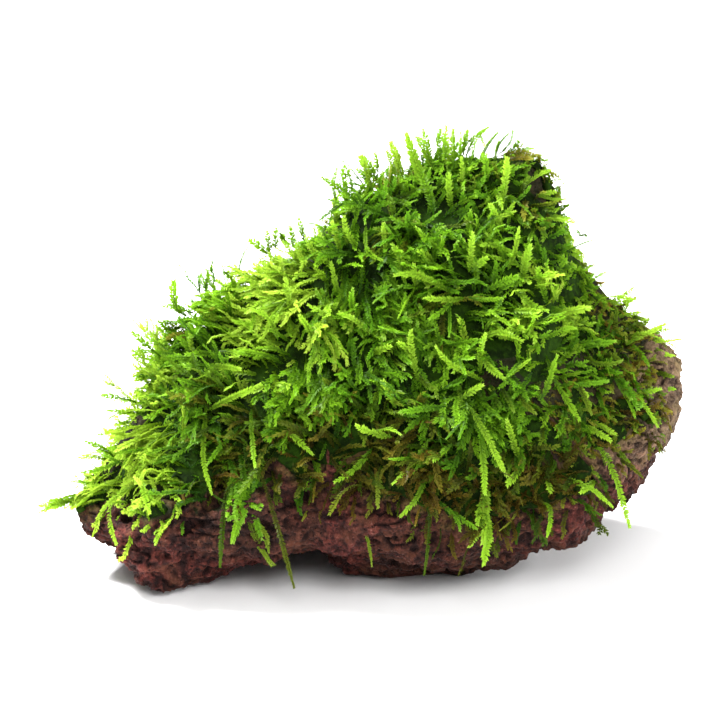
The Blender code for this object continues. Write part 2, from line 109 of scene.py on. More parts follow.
def readTriangles(mesh):
    mesh.calc_loop_triangles()
    flat = np.zeros(len(mesh.loop_triangles) * 3, np.int32)
    mesh.loop_triangles.foreach_get("vertices", flat)
    return flat.reshape(-1, 3)


def searchTree(mesh):  # in millimetres
    return BVHTree.FromPolygons(readPoints(mesh).tolist(), readTriangles(mesh).tolist())


def storeValues(mesh, name, values):
    mesh.attributes.new(name, "FLOAT", "POINT").data.foreach_set("value", values.astype(np.float32))


def noiseAt(points, size, place=(0.0, 0.0, 0.0)):  # the place is where in the noise it is read
    moved = points / np.array(size) + np.array(place)
    return np.array([noise.noise(point) for point in moved.tolist()])


def smoothStep(value, start, whole):  # 0 at the start, 1 where it is whole
    share = np.clip((value - start) / (whole - start), 0.0, 1.0)
    return share * share * (3 - 2 * share)


def within(points, area):  # an area is a list of measures, each with its start and where it is whole
    x, y, z = points.T
    measures = {"x": x, "y": y, "z": z, "below": np.interp(x, ridge["x"], ridge["z"]) - z}
    share = np.ones(len(points))
    for measure, start, whole in area:
        share *= smoothStep(measures[measure], start, whole)
    return share


def unit(vectors):
    return vectors / np.maximum(np.linalg.norm(vectors, axis=-1, keepdims=True), smallest)


stoneTree = searchTree(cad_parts["stone"].data)
mossTree = searchTree(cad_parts["moss_mat"].data)


def nearest(tree, points):
    found = [tree.find_nearest(point) for point in points.tolist()]
    places = np.array([hit[0] for hit in found])
    normals = np.array([hit[1] for hit in found])
    return places, normals


def distanceTo(tree, points):
    return np.linalg.norm(points - nearest(tree, points)[0], axis=1)


def heightOver(tree, points):  # above 0 outside the surface, and the surface's normal there
    places, normals = nearest(tree, points)
    gaps = points - places
    side = np.sign(np.sum(gaps * normals, axis=1))
    return side * np.linalg.norm(gaps, axis=1), normals


# Shader graphs, written as sums of wires

class Wire:
    def __init__(self, graph, socket):
        self.graph = graph
        self.socket = socket

    def maths(self, operation, first, second):
        return self.graph.node("ShaderNodeMath", {"operation": operation}, {0: first, 1: second})

    def __add__(self, other):
        return self.maths("ADD", self, other)

    def __sub__(self, other):
        return self.maths("SUBTRACT", self, other)

    def __rsub__(self, other):
        return self.maths("SUBTRACT", other, self)

    def __mul__(self, other):
        return self.maths("MULTIPLY", self, other)

    def __rmul__(self, other):
        return self.maths("MULTIPLY", other, self)


class Graph:
    def __init__(self, name):
        self.material = bpy.data.materials.new(name)
        self.material.use_nodes = True
        self.tree = self.material.node_tree
        self.tree.nodes.clear()

    def node(self, kind, settings=None, inputs=None, output=0):
        made = self.tree.nodes.new(kind)
        for name, value in (settings or {}).items():
            if name == "stops":
                self.setStops(made.color_ramp, value)
            else:
                setattr(made, name, value)
        for name, value in (inputs or {}).items():
            if isinstance(value, Wire):
                self.tree.links.new(value.socket, made.inputs[name])
            else:
                made.inputs[name].default_value = value
        return Wire(self, made.outputs[output]) if len(made.outputs) else None

    def setStops(self, ramp, stops):
        ramp.elements.remove(ramp.elements[1])
        for index, (place, colour) in enumerate(stops):
            element = ramp.elements.new(place) if index else ramp.elements[0]
            element.position = place
            element.color = (*colour, 1.0)

    def step(self, value, low, high):  # 0 below low, 1 above high, smooth between
        return self.node("ShaderNodeMapRange", {"interpolation_type": "SMOOTHSTEP"},
                         {"Value": value, "From Min": low, "From Max": high})

    def mix(self, share, first, second):  # 6 and 7 are the node's colours, and output 2 is its result
        first = first if isinstance(first, Wire) else (*first, 1.0)
        second = second if isinstance(second, Wire) else (*second, 1.0)
        return self.node("ShaderNodeMix", {"data_type": "RGBA"}, {"Factor": share, 6: first, 7: second}, 2)

    def greater(self, first, second):
        return self.node("ShaderNodeMath", {"operation": "MAXIMUM"}, {0: first, 1: second})

    def noise(self, place, size, detail, roughness):  # size in millimetres
        return self.node("ShaderNodeTexNoise", None, {
            "Vector": place, "Scale": 1.0 / (size * mm), "Detail": detail, "Roughness": roughness,
        })

    def axis(self, vector, number):  # 0 for x, 1 for y, 2 for z
        return self.node("ShaderNodeSeparateXYZ", None, {0: vector}, number)

    def bump(self, height, strength, depth):  # depth in millimetres
        values = {"Height": height, "Strength": strength, "Distance": depth * mm}
        return self.node("ShaderNodeBump", None, values)

    def surface(self, colour, roughness, specular, bump=None):
        values = {"Base Color": colour, "Roughness": roughness, "Specular IOR Level": specular}
        if bump:
            values["Normal"] = bump
        return self.node("ShaderNodeBsdfPrincipled", None, values)

    def attribute(self, name):  # output 2 is its number
        return self.node("ShaderNodeAttribute", {"attribute_name": name}, output=2)

    def objectPlace(self):  # output 3 is the place in Object coordinates
        return self.node("ShaderNodeTexCoord", output=3)

    def finish(self, surface):
        self.node("ShaderNodeOutputMaterial", None, {"Surface": surface})
        return self.material


def blend(wires, weights):
    total = wires[0] * weights[0]
    for wire, weight in zip(wires[1:], weights[1:]):
        total = total + wire * weight
    return total


# The stone

stoneLook = {
    "voxel": 0.49,
    "rounding": 6,  # smoothing steps over the facets
    "roundingFactor": 0.5,
    "thinnedWithin": 1.0,  # of the moss
    "thinnedShare": 0.4,  # of all faces stay, and those that go are under the moss
    "knobSize": 5.5,
    "knobDepth": 0.3,
    "crumbSize": 2.6,
    "crumbDepth": 1.1,
    "crumbPlace": (3.0, 1.0, 7.0),
    "jointWidth": 0.13,  # of the joints between crumbs, which are painted with shade
    "jointShade": 0.8,
    "gritSize": 1.2,
    "gritDepth": 0.75,
    "gritPlace": (8.0, 2.0, 5.0),
    "level": 0.25,  # of crumbs and grit where the surface keeps its height
    "pitSizes": (1.9, 3.0),
    "pitDepths": (0.7, 1.0),
    "pitShares": (0.62, 0.4),  # of the cells that have a pit
    "pitReach": (0.34, 0.5),  # a pit's least reach in its cell, and what it may gain
    "pitChance": (12.9898, 78.233, 37.719, 43758.5453),  # factors that scramble a cell's place
    "creviceSize": (10.0, 10.0, 2.7),
    "crevicePlace": (1.0, 4.0, 2.0),
    "creviceWidth": 0.07,
    "creviceDepth": 1.1,
    "patchSize": 16.0,  # of the areas that have crevices
    "patchPlace": (5.0, 5.0, 1.0),
    "patchRange": (-0.15, 0.15),
    "calmRange": (0.15, 1.6),  # heights over which the relief fades in above the flat spots
    "coverReach": 16.0,  # the stone is covered where moss lies over it within this, and is painted dark there as shade under the cushion
    "coveredRelief": 0.12,  # share of the relief under the moss
}


def pitsAt(points, size, share):
    factorX, factorY, factorZ, spread = stoneLook["pitChance"]
    least, gain = stoneLook["pitReach"]
    hollow = np.zeros(len(points))
    for index, point in enumerate((points / size).tolist()):
        distances, cells = noise.voronoi(point)
        cell = cells[0]
        chance = math.sin(cell.x * factorX + cell.y * factorY + cell.z * factorZ) * spread % 1.0
        if chance < share:
            hollow[index] = max(0.0, 1.0 - (distances[0] / (least + gain * chance)) ** 2)
    return hollow


def coverOf(points, normals):
    reach = stoneLook["coverReach"]
    rays = zip(points.tolist(), normals.tolist())
    hits = [mossTree.ray_cast(point, way, reach)[3] for point, way in rays]
    return np.array([0.0 if hit is None else 1.0 for hit in hits])


def makeStone():
    look = stoneLook
    stone = copyNode("stone", "lavaStone")
    applyModifier(stone, "REMESH", {"mode": "VOXEL", "voxel_size": look["voxel"] * mm})
    applyModifier(stone, "SMOOTH", {"factor": look["roundingFactor"], "iterations": look["rounding"]})
    away = distanceTo(mossTree, readPoints(stone.data))
    group = stone.vertex_groups.new(name="covered")
    for index in np.flatnonzero(away < look["thinnedWithin"]).tolist():
        group.add([index], 1.0, "REPLACE")
    applyModifier(stone, "DECIMATE", {"ratio": look["thinnedShare"], "vertex_group": "covered"})
    stone.vertex_groups.clear()

    points = readPoints(stone.data)
    normals = readNormals(stone.data)
    crumbs = np.abs(noiseAt(points, look["crumbSize"], look["crumbPlace"]))
    grit = np.abs(noiseAt(points, look["gritSize"], look["gritPlace"]))
    relief = look["knobDepth"] * noiseAt(points, look["knobSize"])
    relief += look["crumbDepth"] * (crumbs - look["level"]) + look["gritDepth"] * (grit - look["level"])
    # painted shade in the joints between crumbs, in the pits and in the crevices, kept for the material
    cavityShade = look["jointShade"] * (1 - smoothStep(crumbs, 0.0, look["jointWidth"]))
    for size, depth, share in zip(look["pitSizes"], look["pitDepths"], look["pitShares"]):
        pits = pitsAt(points, size, share)
        relief -= depth * pits
        cavityShade = np.maximum(cavityShade, pits)
    band = np.abs(noiseAt(points, look["creviceSize"], look["crevicePlace"]))
    patches = smoothStep(noiseAt(points, look["patchSize"], look["patchPlace"]), *look["patchRange"])
    crevice = (1.0 - smoothStep(band, 0.0, look["creviceWidth"])) * patches
    relief -= look["creviceDepth"] * crevice
    cavityShade = np.maximum(cavityShade, crevice)
    covered = coverOf(points, normals)
    calm = smoothStep(points[:, 2], *look["calmRange"])
    calm *= 1 - (1 - look["coveredRelief"]) * covered
    storeValues(stone.data, "mossDistance", distanceTo(mossTree, points))
    storeValues(stone.data, "cavityShade", cavityShade * calm)
    storeValues(stone.data, "covered", covered)
    storeValues(stone.data, "relief", relief)
    points += normals * (relief * calm)[:, None]
    points[:, 2] = np.maximum(points[:, 2], 0.0)
    writePoints(stone.data, points)
    stone.data.shade_smooth()
    stone.data.materials.append(stoneMaterial())
    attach(stone, "root")
    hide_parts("stone")
    print("stone", len(stone.data.vertices), "points")
    return stone


lavaLook = {
    # noises: size, detail and roughness
    "broad": (20.0, 2.0, 0.55),
    "middle": (5.0, 4.0, 0.6),
    "fine": (1.6, 4.0, 0.7),
    "grain": (0.55, 3.0, 0.75),
    "blotch": (8.0, 3.0, 0.6),
    "poreSize": 1.0,
    "poreRaggedness": 0.35,
    # weights of what makes each pattern, and the range from where it begins to where it is whole
    "shadeWeights": (0.45, 0.35, 0.2, 0.07),  # of middle, fine, grain and relief; the relief's share is painted shade, lighter on the ridges and darker in the hollows
    "shadeRange": (0.38, 0.64),
    "brownWeights": (0.7, 0.3),  # of broad and middle
    "brownRange": (0.42, 0.58),
    "dustWeights": (0.6, 0.4, 0.08),  # of grain, fine and relief; the relief's share makes it partly a painted highlight on the ridges
    "dustRange": (0.56, 0.72),
    "poreRange": (0.28, 0.50),
    "blotchRange": (0.50, 0.62),
    # algae near the moss and on the grey right end
    "filmReach": (0.5, 4.0),  # from the moss
    "filmWeights": (1.0, 0.5),  # of middle and fine
    "filmRange": (0.6, 0.9),
    "greyX": (40.0, 62.0),
    "greyZ": (18.0, 34.0),
    "greyFilmRange": (0.48, 0.62),
    # shade where the cushion keeps the light off, high on the stone
    "shadowReach": (3.0, 5.5),
    "shadowZ": (36.0, 44.0),
    # how strong each layer is
    "blotches": 0.6,
    "dustAndHighlight": 0.4,
    "pores": 0.75,
    "cavityShading": 0.85,
    "grey": 0.75,
    "film": 0.6,
    "greyFilm": 0.45,
    # painted shade: in the cushion's shadow, and on the stone under the cushion
    "shadow": 0.85,
    "covered": 0.95,
    # colours, those with a dark and a bright end first
    "redColours": ((0.012, 0.0022, 0.0018), (0.130, 0.027, 0.020)),
    "brownColours": ((0.008, 0.0026, 0.0015), (0.075, 0.024, 0.013)),
    "blotchColours": ((0.006, 0.0022, 0.0016), (0.050, 0.018, 0.012)),
    "greyColours": ((0.020, 0.012, 0.007), (0.30, 0.20, 0.12)),
    "filmColours": ((0.009, 0.008, 0.0015), (0.080, 0.070, 0.014)),
    # pale dust, partly a painted highlight on the ridges
    "dustAndHighlightColour": (0.30, 0.14, 0.11),
    # painted shade in the pores
    "poreShadeColour": (0.010, 0.0035, 0.003),
    # painted shade in the joints, pits and crevices
    "cavityShadeColour": (0.006, 0.0022, 0.002),
    # painted shade on the stone under the cushion and in its shadow
    "shadeUnderMossColour": (0.006, 0.009, 0.001),
    # surface
    "heightWeights": (0.5, 0.8, -0.6),  # of grain, fine and pores
    "bumpStrength": 1.0,
    "bumpDepth": 0.6,
    "roughness": 0.85,
    "smoother": 0.25,  # on bright grains
    "smootherRange": (0.45, 0.7),
    "specular": 0.14,
}


def stoneMaterial():
    look = lavaLook
    graph = Graph("redLava")
    place = graph.objectPlace()
    x, z = graph.axis(place, 0), graph.axis(place, 2)
    cavityShade, mossDistance, relief, covered = (
        graph.attribute(name) for name in ("cavityShade", "mossDistance", "relief", "covered"))

    def along(wire, stretch):  # over a stretch in millimetres
        return graph.step(wire, *[end * mm for end in stretch])

    broad, middle, fine, grain, blotch = (
        graph.noise(place, *look[name]) for name in ("broad", "middle", "fine", "grain", "blotch"))
    poreScale = 1.0 / (look["poreSize"] * mm)
    cells = graph.node("ShaderNodeTexVoronoi", None, {"Vector": place, "Scale": poreScale})
    pore = 1.0 - graph.step(cells + look["poreRaggedness"] * middle, *look["poreRange"])
    # tone from the noises, with painted shade from the relief
    shade = graph.step(blend((middle, fine, grain, relief), look["shadeWeights"]), *look["shadeRange"])
    red, brown, dark, grey, green = (
        graph.mix(shade, *look[name + "Colours"]) for name in ("red", "brown", "blotch", "grey", "film"))
    brownness = graph.step(blend((broad, middle), look["brownWeights"]), *look["brownRange"])
    colour = graph.mix(brownness, red, brown)
    colour = graph.mix(graph.step(blotch, *look["blotchRange"]) * look["blotches"], colour, dark)
    # pale dust on the grains, partly a painted highlight on the ridges
    dustAndHighlight = graph.step(blend((grain, fine, relief), look["dustWeights"]), *look["dustRange"])
    colour = graph.mix(dustAndHighlight * look["dustAndHighlight"], colour, look["dustAndHighlightColour"])
    # painted shade in the pores, which the bump also sinks
    colour = graph.mix(pore * look["pores"], colour, look["poreShadeColour"])
    # painted shade in the joints, pits and crevices
    colour = graph.mix(cavityShade * look["cavityShading"], colour, look["cavityShadeColour"])

    greyEnd = along(x, look["greyX"]) * along(z, look["greyZ"])
    colour = graph.mix(greyEnd * look["grey"], colour, grey)
    film = 1.0 - graph.step(mossDistance, *look["filmReach"])
    filmPatches = graph.step(blend((middle, fine), look["filmWeights"]), *look["filmRange"])
    film = film * filmPatches * look["film"]
    greyFilm = greyEnd * graph.step(middle, *look["greyFilmRange"]) * look["greyFilm"]
    colour = graph.mix(graph.greater(film, greyFilm), colour, green)
    # painted shade: near black where the cushion keeps the light off high on the stone, and on the stone
    # under the cushion
    shadow = (1.0 - graph.step(mossDistance, *look["shadowReach"])) * along(z, look["shadowZ"])
    covered = graph.greater(covered, shadow * look["shadow"])
    colour = graph.mix(covered * look["covered"], colour, look["shadeUnderMossColour"])

    height = blend((grain, fine, pore), look["heightWeights"])
    bump = graph.bump(height, look["bumpStrength"], look["bumpDepth"])
    roughness = look["roughness"] - look["smoother"] * graph.step(grain, *look["smootherRange"])
    return graph.finish(graph.surface(colour, roughness, look["specular"], bump))


# The bed that the shoots grow from: the mat's dark green, darkened further as painted shade deep in the
# cushion

bedLook = {
    "share": 0.2,  # of the cushion's thickness
    "lumpSize": 5.0,
    "lumpShare": 0.12,
    "buried": 1.0,  # how deep the inner skin lies in the stone
    "innerReach": 1.15,  # the inner skin is closer to the stone than this
    "middle": (4.0, 4.0, 0.6),  # noise size, detail and roughness
    "fine": (0.9, 3.0, 0.6),
    "middleRange": (0.4, 0.65),
    "fineRange": (0.5, 0.8),
    "fineShare": 0.6,
    # near black, partly the mat's own colour and partly painted shade deep in the cushion
    "colours": ((0.003, 0.008, 0.0006), (0.010, 0.028, 0.001), (0.022, 0.050, 0.002)),
    "bumpStrength": 0.8,
    "bumpDepth": 0.5,
    "roughness": 0.85,
    "specular": 0.05,
}


def makeBed():
    look = bedLook
    bed = copyNode("moss_mat", "mossBed")
    points = readPoints(bed.data)
    foot, normals = nearest(stoneTree, points)
    rise = points - foot
    share = look["share"] + look["lumpShare"] * noiseAt(points, look["lumpSize"])
    outer = foot + rise * share[:, None]
    inner = foot - normals * look["buried"]
    isInner = np.linalg.norm(rise, axis=1) < look["innerReach"]
    writePoints(bed.data, np.where(isInner[:, None], inner, outer))
    applyModifier(bed, "SUBSURF", {"levels": 1, "render_levels": 1})
    bed.data.shade_smooth()
    bed.data.materials.append(bedMaterial())
    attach(bed, "root")
    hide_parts("moss_mat")
    print("bed", len(bed.data.vertices), "points")
    return bed


def bedMaterial():
    look = bedLook
    graph = Graph("mossBedPaintedShade")
    place = graph.objectPlace()
    fine = graph.noise(place, *look["fine"])
    dark, middle, bright = look["colours"]
    colour = graph.mix(graph.step(graph.noise(place, *look["middle"]), *look["middleRange"]), dark, middle)
    colour = graph.mix(graph.step(fine, *look["fineRange"]) * look["fineShare"], colour, bright)
    bump = graph.bump(fine, look["bumpStrength"], look["bumpDepth"])
    return graph.finish(graph.surface(colour, look["roughness"], look["specular"], bump))


# One leafy shoot: a thin stem with pointed leaves in two flat ranks and two standing ones

leafLook = {
    "stemRadius": 0.17,
    "stemSides": 3,
    "stemTaper": (1.1, 0.75),  # of the radius at the root, and how much of it the tip loses
    "stemLight": 0.7,
    "leafLength": 1.05,
    "leafWidth": 0.52,
    "widest": 0.42,  # of a leaf's length from its foot
    "bow": 0.13,  # of a leaf's length
    "sizes": (0.8, 1.15),
    "rootSize": 0.6,  # of the leaves at the root, which grow over the root reach
    "rootReach": 0.25,
    "tipFrom": 0.72,
    "tipShrink": 0.25,
    "sidePitch": 0.43,
    "standingPitch": 0.85,
    "standingShare": 0.7,
    "fewest": 2,
    "jitter": (0.3, 0.4),  # of a pitch: the least, and what it may gain
    "stretch": (0.02, 0.97),  # of the shoot: the first leaf's place, and how far the rank goes
    "spread": (40.0, 68.0),  # degrees between leaf and stem
    "tipSpread": 0.45,
    "unevenness": 0.12,
    # places on the palette: half the width of a leaf, and light along the shoot and the leaf
    "paletteStep": 0.008,
    "leafLight": 0.72,
    "lightJitter": (-0.04, 0.06),
    "mostLight": 0.76,
    "edgeLight": 0.07,
    "endLight": 0.22,
}


def alongPath(path, shares):
    steps = np.linalg.norm(np.diff(path, axis=0), axis=1)
    marks = np.concatenate([[0.0], np.cumsum(steps)]) / steps.sum()
    return np.stack([np.interp(shares, marks, path[:, axis]) for axis in range(3)], axis=1)


def makeStem(centres, sides, tops, leafScale):
    look = leafLook
    rings = len(centres)
    shares = np.linspace(0.0, 1.0, rings)
    root, loss = look["stemTaper"]
    radii = look["stemRadius"] * (root - loss * shares)[:, None] * leafScale
    points, places, faces = [], [], []
    for corner in range(look["stemSides"]):
        turn = math.tau * corner / look["stemSides"]
        points.append(centres + (sides * math.cos(turn) + tops * math.sin(turn)) * radii)
        across = np.full(rings, (corner - 1) * look["paletteStep"])
        places.append(np.stack([across, shares * look["stemLight"]], axis=1))
        after = (corner + 1) % look["stemSides"]
        low = np.arange(rings - 1)
        a, b = corner * rings + low, after * rings + low
        faces.append(np.stack([a, b, b + 1], axis=1))
        faces.append(np.stack([a, b + 1, a + 1], axis=1))
    return np.concatenate(points), np.concatenate(faces), np.concatenate(places)


def makeRank(centres, ways, sides, tops, out, pitch, share, leafScale, draw):
    look = leafLook
    length = np.linalg.norm(np.diff(centres, axis=0), axis=1).sum()
    count = max(look["fewest"], int(length / (pitch * min(leafScale, 1.0))))
    least, gain = look["jitter"]
    begin, reach = look["stretch"]
    at = np.clip((np.arange(count) + least + gain * draw.random(count)) / count * reach + begin, 0.0, 1.0)
    base, way = alongPath(centres, at), unit(alongPath(ways, at))
    side, top = unit(alongPath(sides, at)), unit(alongPath(tops, at))
    outward = side * out[0] + top * out[1]
    nearTip = smoothStep(at, look["tipFrom"], 1.0)
    spread = np.radians(draw.uniform(*look["spread"], count)) * (1 - nearTip * (1 - look["tipSpread"]))
    along = unit(way * np.cos(spread)[:, None] + outward * np.sin(spread)[:, None]
                 + draw.normal(0.0, look["unevenness"], (count, 3)))
    size = look["leafLength"] * leafScale * share * draw.uniform(*look["sizes"], count)
    grown = look["rootSize"] + (1 - look["rootSize"]) * smoothStep(at, 0.0, look["rootReach"])
    size *= grown * (1.0 - look["tipShrink"] * nearTip)
    across = side if out[1] else unit(np.cross(along, top))
    up = unit(np.cross(across, along))
    half = size * look["leafWidth"] / look["leafLength"] / 2
    middle = base + along * (size * look["widest"])[:, None] + up * (size * look["bow"])[:, None]
    corners = [base, middle + across * half[:, None], base + along * size[:, None],
               middle - across * half[:, None]]
    light = at * look["leafLight"] + draw.uniform(*look["lightJitter"], count)
    light = np.clip(light, 0.0, look["mostLight"])
    step, edge, end = look["paletteStep"], look["edgeLight"], look["endLight"]
    marks = ((0.0, 0.0), (-step, edge), (0.0, end), (step, edge))
    places = np.stack([np.stack([np.full(count, u), light + v], axis=1) for u, v in marks], axis=1)
    first = 4 * np.arange(count)
    faces = np.concatenate([np.stack([first, first + 1, first + 2], axis=1),
                            np.stack([first, first + 2, first + 3], axis=1)])
    return np.stack(corners, axis=1).reshape(-1, 3), faces, places.reshape(-1, 2)


def leafyShoot(path, flat, leafScale, draw):
    look = leafLook
    centres = alongPath(path, np.linspace(0.0, 1.0, len(path)))
    ways = unit(np.gradient(centres, axis=0))
    sides = unit(np.cross(np.cross(ways, flat), ways))
    tops = np.cross(ways, sides)
    forms = [makeStem(centres, sides, tops, leafScale)]
    for out, pitch, share in (
        ((1.0, 0.0), look["sidePitch"], 1.0),
        ((-1.0, 0.0), look["sidePitch"], 1.0),
        ((0.0, 1.0), look["standingPitch"], look["standingShare"]),
        ((0.0, -1.0), look["standingPitch"], look["standingShare"]),
    ):
        forms.append(makeRank(centres, ways, sides, tops, out, pitch, share, leafScale, draw))
    return joinForms(forms)


def joinForms(forms):  # each form is its points, faces and places on the palette
    points = np.concatenate([form[0] for form in forms])
    places = np.concatenate([form[2] for form in forms])
    offsets = np.cumsum([0] + [len(form[0]) for form in forms[:-1]])
    faces = np.concatenate([form[1] + offset for form, offset in zip(forms, offsets)])
    return points, faces, places


def buildPiece(name, forms, nodes):
    points, faces, places = joinForms(forms)
    mesh = bpy.data.meshes.new(name)
    mesh.from_pydata((points * mm).tolist(), [], faces.tolist())
    layer = mesh.uv_layers.new(name="OFBake")
    marks = np.clip(places[faces.ravel()], *palette["limits"])
    layer.uv.foreach_set("vector", marks.astype(np.float32).ravel())
    mesh.materials.append(mossShader)
    piece = bpy.data.objects.new(name, mesh)
    bpy.context.collection.objects.link(piece)
    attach(piece, "root")
    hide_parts(*nodes)
    print(name, len(faces), "faces")


# A set of straight pattern shoots, which are copied, bent and turned

patternLook = {
    "lengths": (6.0, 8.5, 11.5, 15.0, 19.0),
    "variants": 5,
    "ringGap": 2.4,
    "extraRings": 3,
    "wiggle": 0.42,
    "branchesPerLength": 0.045,
    "mostBranches": 3,
    "branchAt": (0.25, 0.8),  # of the length
    "branchAngle": (38.0, 60.0),
    "branchLength": (0.2, 0.4),
    "branchPoints": 4,
    "branchWander": 0.15,
    "branchRise": (0.1, 1.5),  # how much a branch bends up, and its power of the length
    "branchScale": 0.9,
    "branchLight": 0.75,
    "thickness": (0.9, 1.1),  # limits for a shoot that is shorter or longer than its pattern
    "rootLight": 0.02,
    "seed": 3,
}


def makePattern(length, draw):
    look = patternLook
    rings = int(length / look["ringGap"]) + look["extraRings"]
    heights = np.linspace(0.0, length, rings)
    sway = draw.normal(0.0, look["wiggle"], (rings, 2)) * np.linspace(0.0, 1.0, rings)[:, None]
    path = np.column_stack([sway, heights])
    flat = np.array([1.0, 0.0, 0.0])
    forms = [leafyShoot(path, flat, 1.0, draw)]
    branches = min(draw.poisson(look["branchesPerLength"] * length), look["mostBranches"])
    rise, power = look["branchRise"]
    for branch in range(branches):
        at = draw.uniform(*look["branchAt"])
        angle = math.radians(draw.uniform(*look["branchAngle"]))
        side = 1.0 if branch % 2 else -1.0
        lift = np.linspace(0.0, length * draw.uniform(*look["branchLength"]), look["branchPoints"])
        way = np.array([math.sin(angle) * side, draw.normal(0.0, look["branchWander"]), math.cos(angle)])
        twig = alongPath(path, [at])[0] + way * lift[:, None]
        twig[:, 2] += rise * lift ** power
        points, faces, places = leafyShoot(twig, flat, look["branchScale"], draw)
        light = look["branchLight"]
        forms.append((points, faces, places * (1.0, light) + (0.0, at * (1 - light))))
    return joinForms(forms)


def makePatterns():
    draw = np.random.default_rng(patternLook["seed"])
    return [[makePattern(length, draw) for _ in range(patternLook["variants"])]
            for length in patternLook["lengths"]]


def bendPattern(pattern, length, shoots, chosen):
    # many copies of one pattern at once, each rolled, bent along an arc and set on its root
    points, faces, places = pattern
    scale = (shoots["length"][chosen] / length)[:, None]
    thickness = np.clip(scale, *patternLook["thickness"]) * shoots["girth"][chosen][:, None]
    roll = shoots["roll"][chosen][:, None]
    x = (points[:, 0] * np.cos(roll) - points[:, 1] * np.sin(roll)) * thickness
    y = (points[:, 0] * np.sin(roll) + points[:, 1] * np.cos(roll)) * thickness
    curl = (shoots["bend"][chosen] / shoots["length"][chosen])[:, None]
    turn = points[:, 2] * scale * curl
    across = (1 - np.cos(turn)) / curl + x * np.cos(turn)
    along = np.sin(turn) / curl - x * np.sin(turn)
    ways, sides = shoots["way"][chosen], sidesOf(shoots)[chosen]
    thirds = np.cross(ways, sides)
    moved = (shoots["root"][chosen][:, None] + sides[:, None] * across[..., None]
             + thirds[:, None] * y[..., None] + ways[:, None] * along[..., None])
    marks = np.repeat(places[None], len(chosen), axis=0)
    marks[..., 0] += shoots["hue"][chosen][:, None]
    marks[..., 1] = marks[..., 1] * shoots["light"][chosen][:, None] + patternLook["rootLight"]
    offsets = (np.arange(len(chosen)) * len(points))[:, None, None]
    return moved.reshape(-1, 3), (faces[None] + offsets).reshape(-1, 3), marks.reshape(-1, 2)


def sidesOf(shoots):  # the way each shoot bends, square to its start
    ways = shoots["way"]
    return unit(shoots["towards"] - ways * np.sum(shoots["towards"] * ways, axis=1, keepdims=True))


def tipsOf(shoots):
    curl = shoots["bend"] / shoots["length"]
    across = (1 - np.cos(shoots["bend"])) / curl
    along = np.sin(shoots["bend"]) / curl
    return shoots["root"] + sidesOf(shoots) * across[:, None] + shoots["way"] * along[:, None]


settleLook = {
    "rounds": 7,
    "turn": 0.22,  # how much of the surface's normal a way gains or loses in a round
    "shorten": 0.95,
    "clearance": 0.7,  # of a tip over the stone
}


def settle(shoots):
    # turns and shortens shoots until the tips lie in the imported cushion, but for the room each has
    look = settleLook
    for _ in range(look["rounds"]):
        tips = tipsOf(shoots)
        over, outward = heightOver(mossTree, tips)
        above, stoneOut = heightOver(stoneTree, tips)
        far = (over > shoots["room"])[:, None]
        low = (above < look["clearance"])[:, None]
        for name in ("way", "towards"):
            shoots[name] = unit(shoots[name] - outward * look["turn"] * far + stoneOut * look["turn"] * low)
        shoots["length"] = np.where(far[:, 0], shoots["length"] * look["shorten"], shoots["length"])
    return shoots


def viewWays():  # from the target back to the camera, and up in the picture
    slope = math.radians(view["elevation"])
    back = np.array([0.0, -math.cos(slope), math.sin(slope)])
    return back, np.array([0.0, math.sin(slope), math.cos(slope)])


def pixelRay(across, down):  # from the camera through a pixel
    back, up = viewWays()
    half = view["frameSize"] / 2
    right = (across - half) / view["pixelsPerMillimetre"]
    rise = (half - down) / view["pixelsPerMillimetre"]
    start = np.array(view["target"]) + back * view["distance"]
    return start, unit(np.array([right, 0.0, 0.0]) + up * rise - back * view["distance"])


# Where shoots grow

def scatter(mesh, chanceOf, count, spacing, draw):
    # spots over a mesh, spread by area and by the chance of each face, and kept apart
    points = readPoints(mesh)
    corners = points[readTriangles(mesh)]
    crosses = np.cross(corners[:, 1] - corners[:, 0], corners[:, 2] - corners[:, 0])
    normals = unit(crosses)
    chances = np.linalg.norm(crosses, axis=1) * chanceOf(corners.mean(axis=1), normals)
    picks = draw.choice(len(corners), count * mossLook["picksPerSpot"], p=chances / chances.sum())
    shares = np.sort(draw.random((len(picks), 2)), axis=1)
    weights = np.stack([shares[:, 0], shares[:, 1] - shares[:, 0], 1 - shares[:, 1]], axis=1)
    spots = (corners[picks] * weights[:, :, None]).sum(axis=1)
    kept = keepApart(spots, spacing, count)
    return spots[kept], normals[picks][kept]


def keepApart(spots, distance, limit):
    taken = {}
    kept = []
    around = [(i, j, k) for i in (-1, 0, 1) for j in (-1, 0, 1) for k in (-1, 0, 1)]
    cells = np.floor(spots / distance).astype(int).tolist()
    for index, (x, y, z) in enumerate(cells):
        spot = spots[index]
        others = [taken[x + i, y + j, z + k] for i, j, k in around if (x + i, y + j, z + k) in taken]
        if others and min(np.sum((np.array(others) - spot) ** 2, axis=1)) < distance ** 2:
            continue
        taken[x, y, z] = spot
        kept.append(index)
        if len(kept) == limit:
            break
    return np.array(kept)


def nearestOf(spots, centres):
    found = [((centres - spot) ** 2).sum(axis=1).argmin() for spot in spots]
    return np.array(found)


# The cushion of shoots
# Four numbers for a drawn value are its mean, its spread, its least and its greatest value.

